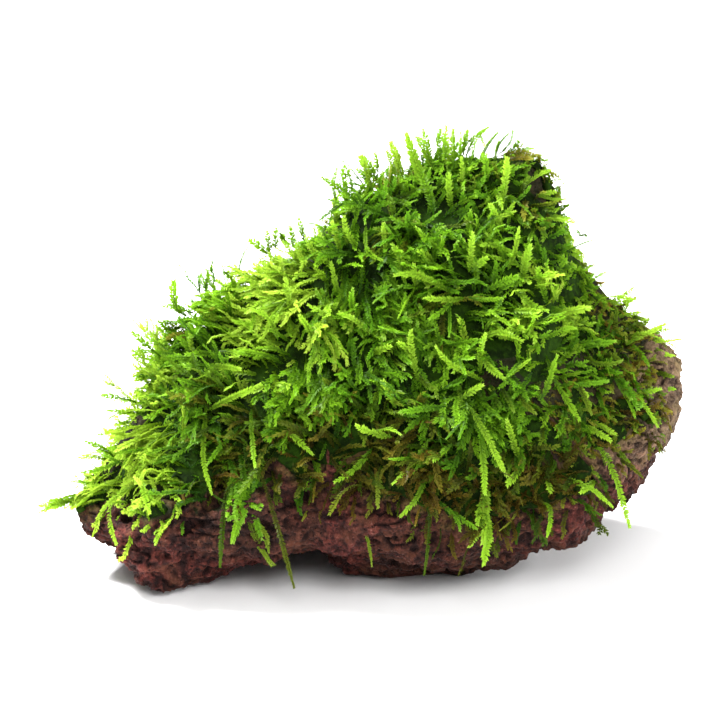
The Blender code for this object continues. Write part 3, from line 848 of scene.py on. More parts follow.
mossLook = {
    "shoots": 3950,
    "spacing": 1.2,
    "picksPerSpot": 3,  # spots tried for each one that is wanted
    # where shoots may start on the bed, and how likely that is where the cushion is thin
    "leastAbove": 0.2,
    "leastFacing": -0.1,
    "thinChance": 0.4,
    "thickRange": (1.5, 5.0),
    "faceShare": 0.5,  # of the bed's own normal in the way out
    "clumps": 230,
    "clumpSpacing": 6.5,
    "clumpLean": 0.55,
    "clumpPull": 0.35,
    "lean": 0.3,
    "outwards": 0.8,
    "combed": 0.75,
    "sink": 1.0,  # how far a root starts below the bed's surface
    "lyingRange": (1.5, 4.0),  # shoots lie flat where the cushion is thinner than the first
    "lyingLift": 0.3,
    "lyingShorter": 0.3,
    "bendCombed": 0.7,
    "bendLean": 0.5,
    "bendWander": 0.25,
    "droop": 1.3,
    "droopRange": (85.0, 60.0),
    "clumpSizes": (0.8, 1.25),
    "base": 5.3,  # length over no moss
    "growth": 0.76,  # more for each millimetre of the cushion
    "thickest": 13.0,
    "sizes": (0.72, 1.28),
    "shortest": 5.0,
    "longest": 20.0,
    "bends": (0.8, 0.45, 0.08, 1.8),
    "rollSpread": 0.5,
    "girths": (0.69, 1.0),
    "room": 0.3,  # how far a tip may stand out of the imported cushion
    "strays": 0.10,  # share of the shoots that stand out of the cushion
    "strayRoom": (0.6, 2.6),
    "hollowTips": 0.9,  # share of a hollow's radius that is kept free of tips
    "hollowDepth": 14.0,
    "seed": 17,
}

# Dark hollows between the shoots: where the view shows them, in pixels, and their radius
hollows = (
    (502, 353, 3.4), (398, 214, 1.7), (341, 279, 1.3), (379, 300, 1.2), (463, 212, 1.3),
    (433, 181, 0.9), (234, 328, 1.1), (249, 351, 1.6), (246, 376, 2.2), (474, 364, 1.1),
    (436, 385, 1.7), (442, 401, 1.1), (492, 417, 1.5), (472, 435, 1.4), (455, 311, 1.0),
    (546, 405, 1.4), (553, 397, 1.2), (262, 448, 1.6), (330, 432, 1.6),
)

# How the moss is combed along x: how far it leans to the side and up, and how far it droops
combLook = {
    "x": (-66.0, -45.0, -22.0, 0.0, 25.0, 45.0, 70.0),
    "side": (-1.0, -0.8, -0.45, -0.12, 0.10, 0.45, 0.85),
    "up": (0.05, 0.22, 0.32, 0.22, 0.15, 0.10, 0.0),
    "droop": (0.25, 0.25, 0.40, 0.70, 0.75, 0.50, 0.15),
    "topUp": 0.25,
    "topRange": (55.0, 85.0),
    "frontDown": 0.45,
    "frontArea": (("z", 42.0, 18.0), ("y", 0.0, -15.0)),
}

hueLook = {  # 0 olive brown, 0.4 deep green, 1 pale lime
    "middle": 0.50,
    "waves": 0.24,
    "waveSize": 11.0,
    "scatter": 0.09,
    "limits": (0.04, 0.96),
    "shifts": (  # by how much, and over which area; the first two, towards pale lime on the upper left slope by the ridge and at the left end, are partly the moss's colour and partly painted light
        (0.37, (("below", 26.0, 6.0), ("x", -32.0, -20.0), ("x", -2.0, -12.0))),
        (0.46, (("x", -33.0, -45.0),)),
        (0.22, (("x", 22.0, 34.0), ("x", 52.0, 44.0), ("z", 40.0, 52.0))),
        (-0.40, (("x", 26.0, 33.0), ("z", 72.0, 80.0))),
        (-0.42, (("z", 50.0, 22.0), ("x", -38.0, -25.0))),
        (-0.38, (("x", 44.0, 60.0),)),
    ),
}

lightLook = {  # how far a shoot gets from its dark root colour to its pale tip colour; the dark roots are partly painted shade deep in the cushion, and the shade area is painted shade over the lower front
    "light": (0.92, 0.13, 0.6, 1.06),
    "shade": 0.52,
    "shadeArea": (("z", 56.0, 24.0), ("x", -42.0, -30.0)),
}


def drawWithin(draw, values, count):
    mean, spread, least, most = values
    return np.clip(draw.normal(mean, spread, count), least, most)


def drawRolls(draw, spread, count):
    return draw.normal(math.pi / 2, spread, count)


def combAt(spots):
    look = combLook
    x, y, z = spots.T
    up = np.interp(x, look["x"], look["up"]) + look["topUp"] * smoothStep(z, *look["topRange"])
    down = look["frontDown"] * within(spots, look["frontArea"])
    return np.stack([np.interp(x, look["x"], look["side"]), np.zeros(len(x)), up - down], axis=1)


def hueAt(spots, draw):
    look = hueLook
    hue = look["middle"] + look["waves"] * noiseAt(spots, look["waveSize"])
    hue = hue + draw.normal(0.0, look["scatter"], len(spots))
    for shift, area in look["shifts"]:
        hue += shift * within(spots, area)
    return np.clip(hue, *look["limits"])


def lightAt(spots, draw):
    light = drawWithin(draw, lightLook["light"], len(spots))
    # painted shade over the lower front of the cushion
    return light * (1 - lightLook["shade"] * within(spots, lightLook["shadeArea"]))


def clearHollows(shoots):  # leaves out the shoots that start or end in a hollow
    clear = np.ones(len(shoots["root"]), bool)
    for across, down, radius in hollows:
        start, way = pixelRay(across, down)
        depth = mossTree.ray_cast(start.tolist(), way.tolist())[3]
        for share, spots in ((1.0, shoots["root"]), (mossLook["hollowTips"], tipsOf(shoots))):
            along = (spots - start) @ way
            away = np.linalg.norm(spots - start - along[:, None] * way, axis=1)
            clear &= (away > radius * share) | (along > depth + mossLook["hollowDepth"])
    return {name: values[clear] for name, values in shoots.items()}


def cushionShoots(bed):
    look = mossLook
    draw = np.random.default_rng(look["seed"])

    def chance(centres, normals):
        foot, stoneOut = nearest(stoneTree, centres)
        above = np.sum((centres - foot) * stoneOut, axis=1)
        thick = np.linalg.norm(centres - foot, axis=1) / bedLook["share"]
        facing = np.sum(normals * stoneOut, axis=1)
        useful = (above > look["leastAbove"]) & (facing > look["leastFacing"])
        thin = look["thinChance"]
        return useful * (thin + (1 - thin) * smoothStep(thick, *look["thickRange"]))

    spots, faceNormals = scatter(bed.data, chance, look["shoots"], look["spacing"], draw)
    count = len(spots)
    foot, stoneNormals = nearest(stoneTree, spots)
    thick = np.linalg.norm(spots - foot, axis=1) / bedLook["share"]
    normals = unit(faceNormals * look["faceShare"] + stoneNormals)
    clumps = spots[keepApart(spots, look["clumpSpacing"], look["clumps"])]
    clump = nearestOf(spots, clumps)
    lean = draw.normal(0.0, look["clumpLean"], (len(clumps), 3))[clump]
    lean += draw.normal(0.0, look["lean"], (count, 3))
    lean += (clumps[clump] - spots) / look["clumpSpacing"] * look["clumpPull"]
    comb = combAt(spots)
    ways = unit(normals * look["outwards"] + comb * look["combed"] + lean)
    flatness = 1.0 - smoothStep(thick, *look["lyingRange"])
    lying = unit(ways - normals * np.sum(ways * normals, axis=1, keepdims=True))
    lying += normals * look["lyingLift"]
    ways = unit(ways * (1 - flatness)[:, None] + lying * flatness[:, None])

    droop = np.interp(spots[:, 0], combLook["x"], combLook["droop"])
    droop = droop * smoothStep(spots[:, 2], *look["droopRange"])
    wander = draw.normal(0.0, look["bendWander"], (count, 3))
    towards = comb * look["bendCombed"] + lean * look["bendLean"] + wander
    towards[:, 2] -= droop * look["droop"]
    sizes = draw.uniform(*look["clumpSizes"], len(clumps))[clump]
    lengths = look["base"] + look["growth"] * np.minimum(thick, look["thickest"])
    lengths = lengths * sizes * draw.uniform(*look["sizes"], count) * (1 - look["lyingShorter"] * flatness)
    isStray = draw.random(count) < look["strays"]
    room = np.where(isStray, draw.uniform(*look["strayRoom"], count), look["room"])
    return clearHollows(settle({
        "root": spots - ways * look["sink"], "way": ways, "towards": unit(towards),
        "bend": drawWithin(draw, look["bends"], count),
        "length": np.clip(lengths, look["shortest"], look["longest"]),
        "roll": drawRolls(draw, look["rollSpread"], count), "room": room,
        "girth": draw.uniform(*look["girths"], count),
        "hue": hueAt(spots, draw), "light": lightAt(spots, draw),
    }))


# Shoots that hang from the cushion's lower edge, and flat ones that creep over the bare right slope

fringeLook = {
    "count": 330,
    "spacing": 1.2,
    "nearest": 0.9,  # to the cushion's edge
    "reach": 3.5,
    "lowest": 9.0,
    "highest": 75.0,
    "leftmost": -58.0,
    "facing": (-0.1, 0.5),  # how far the stone looks to the front where they start and are most likely
    "combed": 0.5,
    "outwards": 0.9,
    "downwards": 0.6,
    "wander": 0.3,
    "hueShift": (-0.1, 0.3),
    "sink": 1.2,
    "bends": (1.0, 0.3, 0.3, 1.8),
    "lengths": (4.0, 10.5),
    "sizes": (0.6, 1.0),
    "rollSpread": 0.4,
    "room": 9.0,
    "girths": (0.65, 0.9),
    "seed": 41,
}

creepLook = {
    "count": 600,
    "spacing": 1.1,
    "bareBeyond": 0.8,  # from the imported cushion
    "bareArea": (("x", 38.0, 52.0), ("z", 26.0, 40.0), ("x", 66.0, 58.0)),
    "thinArea": (("x", 22.0, 30.0), ("z", 30.0, 38.0)),
    "thinCover": 2.6,  # they also grow through moss thinner than this
    "rayDepth": 0.5,  # where the thickness is measured from, under the surface
    "rayStep": 0.05,  # past the skin that a ray has met
    "patchSize": 8.0,
    "patchPlace": (2.0, 2.0, 2.0),
    "patchRange": (-0.25, 0.15),
    "facing": (-0.5, 0.2),  # how far the stone looks up where they start and are most likely
    "sweep": (0.6, 0.0, -0.35),
    "wander": 0.75,
    "lift": (0.1, 0.4),
    "sink": 0.5,
    "hug": 0.6,
    "bends": (0.3, 0.9),
    "lengths": (2.4, 5.0),
    "rollSpread": 0.4,
    "room": 30.0,
    "girths": (0.5, 0.85),
    "hues": (0.24, 0.12, 0.05, 0.6),
    "lights": (0.9, 0.12, 0.5, 1.06),
    "seed": 43,
}


def fringeShoots(stone):
    look = fringeLook
    draw = np.random.default_rng(look["seed"])

    def chance(centres, normals):
        x, y, z = centres.T
        away = distanceTo(mossTree, centres)
        edge = (away > look["nearest"]) & (away < look["reach"]) & (z > look["lowest"])
        edge &= (x > look["leftmost"]) & (z < look["highest"])
        return edge * smoothStep(-normals[:, 1], *look["facing"])

    spots, normals = scatter(stone.data, chance, look["count"], look["spacing"], draw)
    count = len(spots)
    side = np.interp(spots[:, 0], combLook["x"], combLook["side"]) * look["combed"]
    down = np.stack([side, np.zeros(count), np.full(count, -1.0)], axis=1)
    wander = draw.normal(0.0, look["wander"], (count, 3))
    ways = unit(normals * look["outwards"] + down * look["downwards"] + wander)
    hue = np.clip(hueAt(spots, draw) + draw.uniform(*look["hueShift"], count), *hueLook["limits"])
    return settle({
        "root": spots - ways * look["sink"], "way": ways,
        "towards": unit(down + draw.normal(0.0, look["wander"], (count, 3))),
        "bend": drawWithin(draw, look["bends"], count),
        "length": draw.uniform(*look["lengths"], count) * draw.uniform(*look["sizes"], count),
        "roll": drawRolls(draw, look["rollSpread"], count), "room": np.full(count, look["room"]),
        "girth": draw.uniform(*look["girths"], count),
        "hue": hue, "light": lightAt(spots, draw),
    })


def thicknessOver(centres, normals):  # of the moss over the stone, endless where a ray leaves no skin
    starts = centres - normals * creepLook["rayDepth"]
    ways = normals.tolist()
    hits = [mossTree.ray_cast(*ray)[0] for ray in zip(starts.tolist(), ways)]
    ends = [mossTree.ray_cast(tuple(hit + Vector(way) * creepLook["rayStep"]), way)[3] if hit else None
            for hit, way in zip(hits, ways)]
    return np.array([math.inf if end is None else end for end in ends])


def creepShoots(stone):
    look = creepLook
    draw = np.random.default_rng(look["seed"])

    def chance(centres, normals):
        away = distanceTo(mossTree, centres)
        patches = smoothStep(noiseAt(centres, look["patchSize"], look["patchPlace"]), *look["patchRange"])
        bare = (away > look["bareBeyond"]) * within(centres, look["bareArea"]) * patches
        isThin = (away < look["bareBeyond"]) & (thicknessOver(centres, normals) < look["thinCover"])
        thin = within(centres, look["thinArea"]) * isThin
        return (bare + thin) * smoothStep(normals[:, 2], *look["facing"])

    spots, normals = scatter(stone.data, chance, look["count"], look["spacing"], draw)
    count = len(spots)
    sweep = np.array(look["sweep"]) + draw.normal(0.0, look["wander"], (count, 3))
    lying = unit(sweep - normals * np.sum(sweep * normals, axis=1, keepdims=True))
    ways = unit(lying + normals * draw.uniform(*look["lift"], count)[:, None])
    return settle({
        "root": spots - normals * look["sink"], "way": ways,
        "towards": unit(lying - normals * look["hug"]),
        "bend": draw.uniform(*look["bends"], count),
        "length": draw.uniform(*look["lengths"], count),
        "roll": drawRolls(draw, look["rollSpread"], count), "room": np.full(count, look["room"]),
        "girth": draw.uniform(*look["girths"], count),
        "hue": drawWithin(draw, look["hues"], count), "light": drawWithin(draw, look["lights"], count),
    })


regionLook = {  # borders between the pieces, the later ones over the earlier ones
    "names": ("mossLeft", "mossFrontLeft", "mossFrontRight", "mossBack", "mossRight"),
    "leftEnd": -28.0,
    "middle": 4.0,
    "back": 9.0,
    "rightEnd": 32.0,
}


def regionOf(spots):  # the place of each spot's region in the list of names
    look = regionLook
    x, y, z = spots.T
    region = np.where(x < look["leftEnd"], 0, np.where(x < look["middle"], 1, 2))
    region = np.where((y > look["back"]) & (x > look["leftEnd"]), 3, region)
    return np.where(x > look["rightEnd"], 4, region)


def growMoss(stone, bed, patterns):
    groups = [cushionShoots(bed), fringeShoots(stone), creepShoots(stone)]
    shoots = {name: np.concatenate([group[name] for group in groups]) for name in groups[0]}
    lengths = patternLook["lengths"]
    classes = np.abs(shoots["length"][:, None] - np.array(lengths)[None]).argmin(axis=1)
    variants = np.arange(len(classes)) % patternLook["variants"]
    regions = regionOf(shoots["root"])
    for region, name in enumerate(regionLook["names"]):
        forms = []
        for row, column in np.ndindex(len(lengths), patternLook["variants"]):
            chosen = np.flatnonzero((regions == region) & (classes == row) & (variants == column))
            if len(chosen):
                forms.append(bendPattern(patterns[row][column], lengths[row], shoots, chosen))
        buildPiece(name, forms, ["moss_mat"])


palette = {
    # colours along the hue, at the tips and at the roots; the dark roots are partly painted shade deep in
    # the cushion
    "tips": ((0.0, (0.24, 0.15, 0.016)), (0.18, (0.24, 0.25, 0.022)), (0.42, (0.115, 0.30, 0.010)),
             (0.68, (0.25, 0.50, 0.018)), (1.0, (0.56, 0.76, 0.075))),
    "bases": ((0.0, (0.04, 0.022, 0.003)), (0.18, (0.032, 0.033, 0.003)), (0.42, (0.008, 0.034, 0.0005)),
              (0.68, (0.020, 0.072, 0.001)), (1.0, (0.14, 0.26, 0.005))),
    "tipRange": (0.08, 0.90),
    "ends": (0.62, 0.80, 0.18),  # the youngest leaves, pale partly as a painted highlight
    "endRange": (0.74, 1.0),
    "endShare": 0.35,
    "limits": (0.002, 0.998),  # of the places that leaves have on the palette
    "roughness": 0.42,
    "specular": 0.08,
    "through": 0.42,  # share of the light that shines through
}


def mossMaterial():
    look = palette
    graph = Graph("javaMoss")
    spot = graph.node("ShaderNodeUVMap", {"uv_map": "OFBake"})
    hue, light = graph.axis(spot, 0), graph.axis(spot, 1)
    tips = graph.node("ShaderNodeValToRGB", {"stops": look["tips"]}, {0: hue})
    bases = graph.node("ShaderNodeValToRGB", {"stops": look["bases"]}, {0: hue})
    colour = graph.mix(graph.step(light, *look["tipRange"]), bases, tips)
    colour = graph.mix(graph.step(light, *look["endRange"]) * look["endShare"], colour, look["ends"])
    leaf = graph.surface(colour, look["roughness"], look["specular"])
    through = graph.node("ShaderNodeBsdfTranslucent", None, {"Color": colour})
    return graph.finish(graph.node("ShaderNodeMixShader", None, {0: look["through"], 1: leaf, 2: through}))


# The long shoots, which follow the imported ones

longLook = {
    "points": 10,
    "ringCorners": 4,  # of a packed stem
    "decimals": 3,  # that corners in one place share
    "wander": 0.3,
    "rootLight": 0.2,  # of a shoot's light
    "seed": 29,
    # hue, light and leaf scale
    "left_trailing": (0.72, 1.0, 1.5),
    "left_low": (0.62, 0.9, 1.0),
    "left_middle": (0.6, 0.9, 0.9),
    "left_upper": (0.65, 0.9, 1.1),
    "left_bright": (0.68, 0.9, 1.45),
    "slope_low": (0.72, 0.9, 1.2),
    "slope_high": (0.72, 0.9, 1.1),
    "wisp": (0.65, 0.9, 0.7),
    "crest_left": (0.72, 0.9, 1.1),
    "crest_middle": (0.7, 0.9, 1.0),
    "crest_right": (0.45, 0.8, 0.4),
    "right_high": (0.5, 0.8, 0.6),
    "right_middle": (0.75, 0.95, 0.8),
    "right_low": (0.8, 0.95, 0.9),
    "front_left": (0.8, 0.95, 0.9),
    "front_tuft": (0.35, 0.45, 0.8),
    "front_long": (0.25, 0.5, 0.75),
    "front_curl": (0.25, 0.8, 0.95),
    "front_thin": (0.35, 0.5, 0.6),
    "front_bright": (0.74, 0.95, 1.3),
    "front_sprig": (0.7, 0.95, 0.7),
    "front_right": (0.74, 0.95, 1.0),
}


def centreLine(nodeName):  # from root to tip, through the middles of the stem's rings
    ring = longLook["ringCorners"]
    corners = readPoints(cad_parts[nodeName].data).round(longLook["decimals"])
    corners = np.unique(corners, axis=0)
    gaps = np.linalg.norm(corners[:, None] - corners[None], axis=2)
    tip = np.sort(gaps, axis=1)[:, 1:ring].sum(axis=1).argmax()
    line = [corners[tip]]
    left = np.delete(corners, tip, axis=0)
    while len(left) >= ring:
        order = np.linalg.norm(left - line[-1], axis=1).argsort()
        line.append(left[order[:ring]].mean(axis=0))
        left = left[order[ring:]]
    return np.array(line[::-1])


def growLong():
    look = longLook
    draw = np.random.default_rng(look["seed"])
    names = sorted(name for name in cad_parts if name.startswith("shoot_"))
    forms = []
    for name in names:
        path = alongPath(centreLine(name), np.linspace(0.0, 1.0, look["points"]))
        flat = np.array([1.0, *draw.normal(0.0, look["wander"], 2)])
        hue, light, leafScale = look[name.removeprefix("shoot_")]
        points, faces, places = leafyShoot(path, flat, leafScale, draw)
        low = look["rootLight"]
        forms.append((points, faces, places * (1.0, (1 - low) * light) + (hue, low * light)))
    buildPiece("longShoots", forms, names)


# Shoots that the view shows one by one: hue, leaf scale, then the pixels passed from root to tip,
# each as its place across and down

sprayRows = (
    # left end
    (0.72, 1.3, 86, 494, 72, 498, 56, 502, 40, 506),
    (0.68, 1.0, 82, 498, 68, 501, 52, 505),
    # slope
    (0.85, 1.0, 306, 270, 300, 256, 296, 243),
    (0.8, 1.0, 318, 262, 312, 250, 306, 236),
    (0.85, 1.0, 328, 256, 322, 244, 318, 229),
    (0.8, 1.0, 340, 250, 336, 238, 332, 221),
    (0.8, 1.0, 348, 244, 345, 230, 344, 216),
    (0.85, 0.9, 300, 264, 292, 252, 283, 241),
    (0.75, 1.0, 334, 268, 326, 262, 318, 252),
    (0.75, 1.0, 356, 246, 350, 240, 346, 228),
    # beside the large hollow
    (0.5, 0.9, 484, 350, 488, 362, 497, 372, 506, 382),
    (0.55, 0.8, 524, 358, 516, 367, 507, 377),
    (0.4, 0.9, 512, 374, 520, 386, 528, 400),
    (0.35, 0.9, 500, 386, 508, 398, 514, 412),
    (0.45, 0.9, 532, 372, 525, 386, 513, 398),
    (0.3, 0.9, 514, 392, 524, 404, 536, 414),
    # crest
    (0.8, 1.0, 372, 188, 367, 172, 362, 155),
    (0.75, 0.9, 378, 173, 377, 163, 375, 153),
    (0.82, 1.1, 403, 177, 397, 160, 390, 143),
    (0.8, 1.0, 396, 177, 393, 164, 387, 151),
    (0.74, 1.5, 430, 197, 420, 175, 411, 152, 407, 135),
    (0.7, 1.0, 432, 169, 427, 148, 424, 136, 419, 132, 416, 137),
    (0.78, 1.1, 433, 169, 426, 154, 417, 140),
    (0.6, 0.9, 441, 166, 438, 147, 437, 136, 441, 129),
    (0.85, 1.0, 447, 169, 447, 147, 446, 126),
    (0.8, 1.0, 451, 166, 452, 147, 453, 130),
    (0.7, 1.0, 459, 166, 460, 148, 461, 132),
    (0.7, 0.9, 463, 156, 464, 142, 468, 130),
    (0.65, 0.8, 466, 156, 471, 140, 480, 133, 487, 128),
    (0.75, 0.6, 479, 133, 482, 139, 485, 147),
    (0.6, 0.6, 477, 165, 486, 145, 491, 136, 498, 132),
    (0.5, 0.5, 498, 155, 511, 147, 516, 137, 513, 127),
    (0.6, 0.6, 496, 154, 497, 147, 499, 141),
    (0.6, 0.5, 515, 151, 524, 148, 534, 148),
    (0.75, 1.0, 503, 205, 505, 181, 508, 158),
    (0.6, 0.6, 536, 177, 543, 171, 550, 170),
    (0.85, 0.7, 640, 344, 652, 340, 662, 342, 674, 340, 681, 339),
    (0.85, 0.8, 636, 335, 648, 333, 658, 328, 665, 324),
    (0.8, 0.7, 652, 352, 660, 354, 672, 356),
    (0.8, 0.8, 604, 304, 614, 301, 626, 297, 634, 287),
    (0.78, 0.9, 598, 300, 612, 305, 628, 303, 636, 299),
    # hanging tuft
    (0.5, 1.2, 228, 455, 236, 478, 240, 500, 236, 520),
    (0.55, 1.2, 240, 452, 245, 478, 243, 500, 240, 522, 233, 543),
    (0.45, 1.1, 256, 470, 252, 490, 247, 508, 228, 520),
    (0.4, 1.1, 246, 470, 250, 495, 256, 520, 262, 540),
    (0.3, 0.9, 250, 500, 256, 530, 262, 552, 272, 566),
    (0.3, 0.8, 258, 520, 266, 535, 269, 552),
    (0.5, 0.9, 246, 498, 254, 504, 263, 506),
    (0.45, 1.0, 236, 478, 230, 492, 226, 508, 229, 520),
    (0.35, 1.3, 262, 448, 262, 465, 250, 480, 240, 492),
    # left outline
    (0.68, 1, 193, 313, 185, 309, 175, 306, 163, 306),
    (0.7, 1, 168, 350, 163, 346, 154, 339, 144, 336),
    (0.66, 0.8, 175, 354, 157, 352, 143, 352, 131, 351),
    (0.52, 0.45, 239, 278, 238, 266, 241, 253, 248, 247),
    (0.52, 0.6, 204, 306, 205, 299, 206, 292, 209, 290),
    (0.68, 1, 232, 291, 226, 291, 211, 293),
    (0.71, 1.3, 272, 256, 261, 247, 250, 240),
    (0.71, 1.1, 270, 252, 269, 244, 267, 232),
    (0.71, 1.1, 276, 250, 275, 244, 276, 229),
    (0.71, 1, 294, 248, 293, 235, 290, 227),
    (0.7, 1, 305, 243, 303, 236, 301, 228, 299, 218),
    (0.52, 0.35, 322, 226, 312, 223, 304, 223),
    (0.66, 1, 360, 199, 354, 197, 347, 194, 338, 195),
    (0.68, 1, 358, 211, 348, 206, 338, 205),
    (0.69, 1, 366, 208, 355, 208, 343, 210, 332, 211),
    (0.71, 1.3, 377, 180, 375, 174, 369, 164, 362, 156),
    (0.7, 1.1, 371, 182, 364, 175, 357, 169),
    (0.71, 1.3, 400, 170, 398, 159, 394, 150, 391, 142),
    (0.67, 1.5, 434, 214, 432, 203, 430, 193, 422, 177, 416, 164, 411, 146, 406, 134),
    (0.7, 1.1, 431, 165, 430, 154, 427, 141, 423, 130),
    (0.6, 0.7, 437, 145, 438, 136, 440, 129),
    (0.7, 1.1, 454, 170, 454, 160, 454, 143, 453, 129),
    (0.69, 1, 463, 152, 464, 143, 467, 131),
    (0.64, 0.8, 135, 425, 125, 428, 110, 433, 98, 435),
    (0.66, 0.7, 130, 422, 124, 422, 116, 424),
    (0.66, 0.8, 122, 464, 111, 459, 103, 455, 96, 450),
    (0.66, 1, 134, 452, 119, 448, 108, 448),
    (0.64, 0.8, 122, 460, 111, 465, 102, 470, 91, 472, 80, 472),
    (0.69, 0.6, 97, 485, 88, 482, 70, 481),
    # left end, over the stone
    (0.78, 1, 137, 484, 127, 489, 116, 495, 109, 504, 101, 511),
    (0.74, 1, 142, 480, 143, 490, 147, 505, 150, 514),
    (0.78, 1.1, 156, 470, 162, 480, 165, 486, 171, 495, 180, 501),
    (0.02, 0.4, 180, 480, 182, 493, 185, 505),
    (0.74, 0.85, 206, 405, 205, 417, 204, 435, 202, 455, 203, 465, 208, 480, 212, 495),
    (0.5, 0.8, 240, 425, 231, 435, 216, 451, 207, 465),
    (0.71, 0.85, 251, 410, 251, 431, 253, 449, 255, 467),
    (0.74, 1, 261, 420, 277, 425, 288, 432, 299, 441, 313, 455),
    # tuft under the left hollow
    (0.6, 1.1, 242, 470, 239, 478, 233, 492, 226, 517),
    (0.66, 0.8, 248, 468, 247, 474, 241, 492, 238, 512, 234, 531, 231, 543),
    (0.58, 0.9, 251, 465, 245, 492, 247, 507, 261, 510),
    (0.28, 0.9, 247, 486, 248, 512, 256, 524, 264, 530, 270, 537, 269, 543),
    (0.64, 0.9, 243, 482, 234, 497, 227, 504),
    (0.71, 0.8, 238, 470, 233, 474, 230, 480, 229, 488),
    (0.4, 0.35, 208, 490, 214, 497, 221, 501, 229, 503),
    (0.3, 0.7, 245, 508, 248, 520, 255, 541, 262, 553, 275, 565),
    (0.55, 1.2, 246, 474, 244, 485, 238, 500, 234, 517),
    (0.5, 1.1, 253, 476, 250, 488, 244, 505, 243, 522),
    # middle of the lower edge
    (0.66, 0.8, 326, 442, 322, 457, 314, 478, 304, 488, 296, 495),
    (0.08, 0.5, 322, 455, 316, 470, 313, 502),
    (0.2, 0.5, 315, 500, 306, 513, 302, 521),
    (0.7, 1.1, 372, 448, 364, 461, 357, 468, 345, 476, 335, 482),
    (0.28, 0.9, 380, 466, 378, 485, 377, 497, 378, 508),
    (0.3, 0.55, 356, 500, 360, 519, 366, 532, 370, 548, 372, 567),
    (0.77, 1.2, 392, 437, 381, 434, 371, 434, 364, 432, 356, 425),
    (0.74, 0.8, 365, 436, 371, 434, 385, 426, 395, 429, 401, 435),
    (0.74, 0.9, 430, 438, 422, 451, 418, 457, 411, 469, 401, 477, 392, 484),
    (0.72, 1, 426, 480, 419, 496, 415, 504, 406, 510, 400, 517),
    (0.02, 0.4, 421, 500, 418, 512, 415, 526),
    (0.55, 0.6, 420, 457, 401, 460, 389, 459),
    (0.7, 1, 452, 444, 438, 456, 433, 461),
    (0.5, 0.9, 436, 500, 447, 508, 457, 516, 464, 522, 460, 531),
    (0.55, 0.9, 450, 510, 457, 516, 466, 522, 477, 529),
    (0.72, 1.2, 480, 438, 484, 456, 484, 472, 485, 494),
    (0.78, 1.5, 485, 480, 486, 512, 486, 532, 483, 543),
    (0.79, 1.1, 486, 518, 489, 535, 492, 541),
    (0.77, 1, 485, 516, 478, 535, 469, 547),
    (0.74, 1, 484, 495, 478, 508, 477, 525),
    (0.76, 1.1, 468, 405, 476, 415, 485, 433, 491, 442, 498, 461, 507, 476),
    (0.74, 1.3, 525, 460, 520, 470, 515, 475, 507, 485),
    (0.77, 1.1, 519, 458, 515, 447, 510, 435, 507, 420),
    (0.1, 0.35, 515, 508, 500, 521, 493, 527),
    (0.22, 0.35, 520, 498, 520, 511, 515, 520, 499, 531),
    # right of the lower edge
    (0.77, 1.1, 545, 476, 549, 486, 551, 493),
    (0.74, 0.9, 545, 480, 554, 483, 568, 478, 581, 484, 594, 489, 602, 498, 613, 507),
    (0.77, 1, 596, 480, 588, 487, 580, 493),
    (0.76, 1.1, 582, 424, 590, 428, 603, 435, 611, 441),
    (0.79, 1, 590, 420, 598, 424, 607, 429, 616, 434),
    # right slope
    (0.74, 0.6, 586, 284, 592, 280, 599, 275, 606, 272),
    (0.79, 0.7, 620, 318, 625, 311, 631, 304, 636, 298, 631, 292, 625, 296),
    (0.81, 0.9, 612, 318, 621, 315, 631, 315, 641, 312),
    (0.81, 0.9, 614, 312, 625, 316, 636, 318, 647, 320),
    (0.82, 1, 626, 345, 638, 336, 648, 333, 658, 329, 666, 324),
    (0.82, 0.8, 650, 334, 658, 331, 669, 329),
    (0.81, 0.5, 650, 344, 658, 350, 664, 355, 675, 356),
    (0.55, 1, 606, 328, 617, 335, 627, 341, 638, 351, 647, 358, 649, 366),
    (0.6, 1, 578, 350, 595, 345, 606, 343, 616, 341),
    (0.34, 0.9, 578, 352, 585, 360, 599, 366, 613, 365, 623, 360),
    (0.42, 1.3, 614, 348, 623, 365, 631, 378, 638, 390, 642, 407),
    (0.42, 1.3, 600, 362, 613, 374, 623, 384, 631, 395, 638, 409),
    (0.38, 1.2, 606, 356, 618, 372, 626, 388, 631, 400),
    (0.66, 0.5, 614, 378, 621, 390, 630, 403, 635, 418),
    (0.77, 1, 628, 386, 634, 393, 642, 401, 650, 413, 658, 427),
    (0.6, 0.9, 651, 355, 648, 365, 645, 372, 649, 381),
    (0.72, 0.9, 640, 397, 649, 391, 661, 389),
    (0.66, 0.7, 660, 394, 666, 388, 675, 389),
    (0.5, 0.9, 556, 386, 580, 385, 596, 383, 609, 381),
    (0.72, 0.8, 588, 387, 599, 391, 610, 392),
    (0.71, 1, 552, 376, 561, 390, 569, 403, 575, 412, 580, 421),
    (0.3, 0.8, 574, 375, 580, 387, 587, 403, 592, 415),
    (0.6, 0.6, 628, 400, 632, 406, 635, 418),
    # peak
    (0.7, 0.6, 464, 146, 475, 135, 481, 131, 489, 127),
    (0.45, 0.4, 482, 160, 486, 147, 490, 139, 495, 133, 499, 132),
    (0.72, 0.5, 494, 162, 496, 153, 497, 146, 499, 141),
    (0.74, 0.5, 515, 154, 528, 150, 535, 148),
    (0.15, 0.9, 500, 156, 517, 150, 528, 151, 537, 155),
    (0.12, 0.9, 505, 160, 520, 155, 532, 159),
    (0.77, 0.8, 524, 186, 532, 178, 538, 174, 542, 171, 551, 170),
    (0.77, 1.4, 502, 208, 504, 190, 506, 176, 508, 167, 507, 158),
    (0.77, 0.9, 538, 197, 547, 192, 556, 192),
    (0.74, 0.5, 536, 194, 548, 199, 556, 202, 564, 200, 568, 199),
    (0.78, 1, 545, 218, 556, 219, 565, 221, 575, 222),
    (0.77, 0.7, 550, 215, 561, 218, 572, 219),
    (0.4, 0.4, 566, 252, 575, 247, 583, 241, 593, 240),
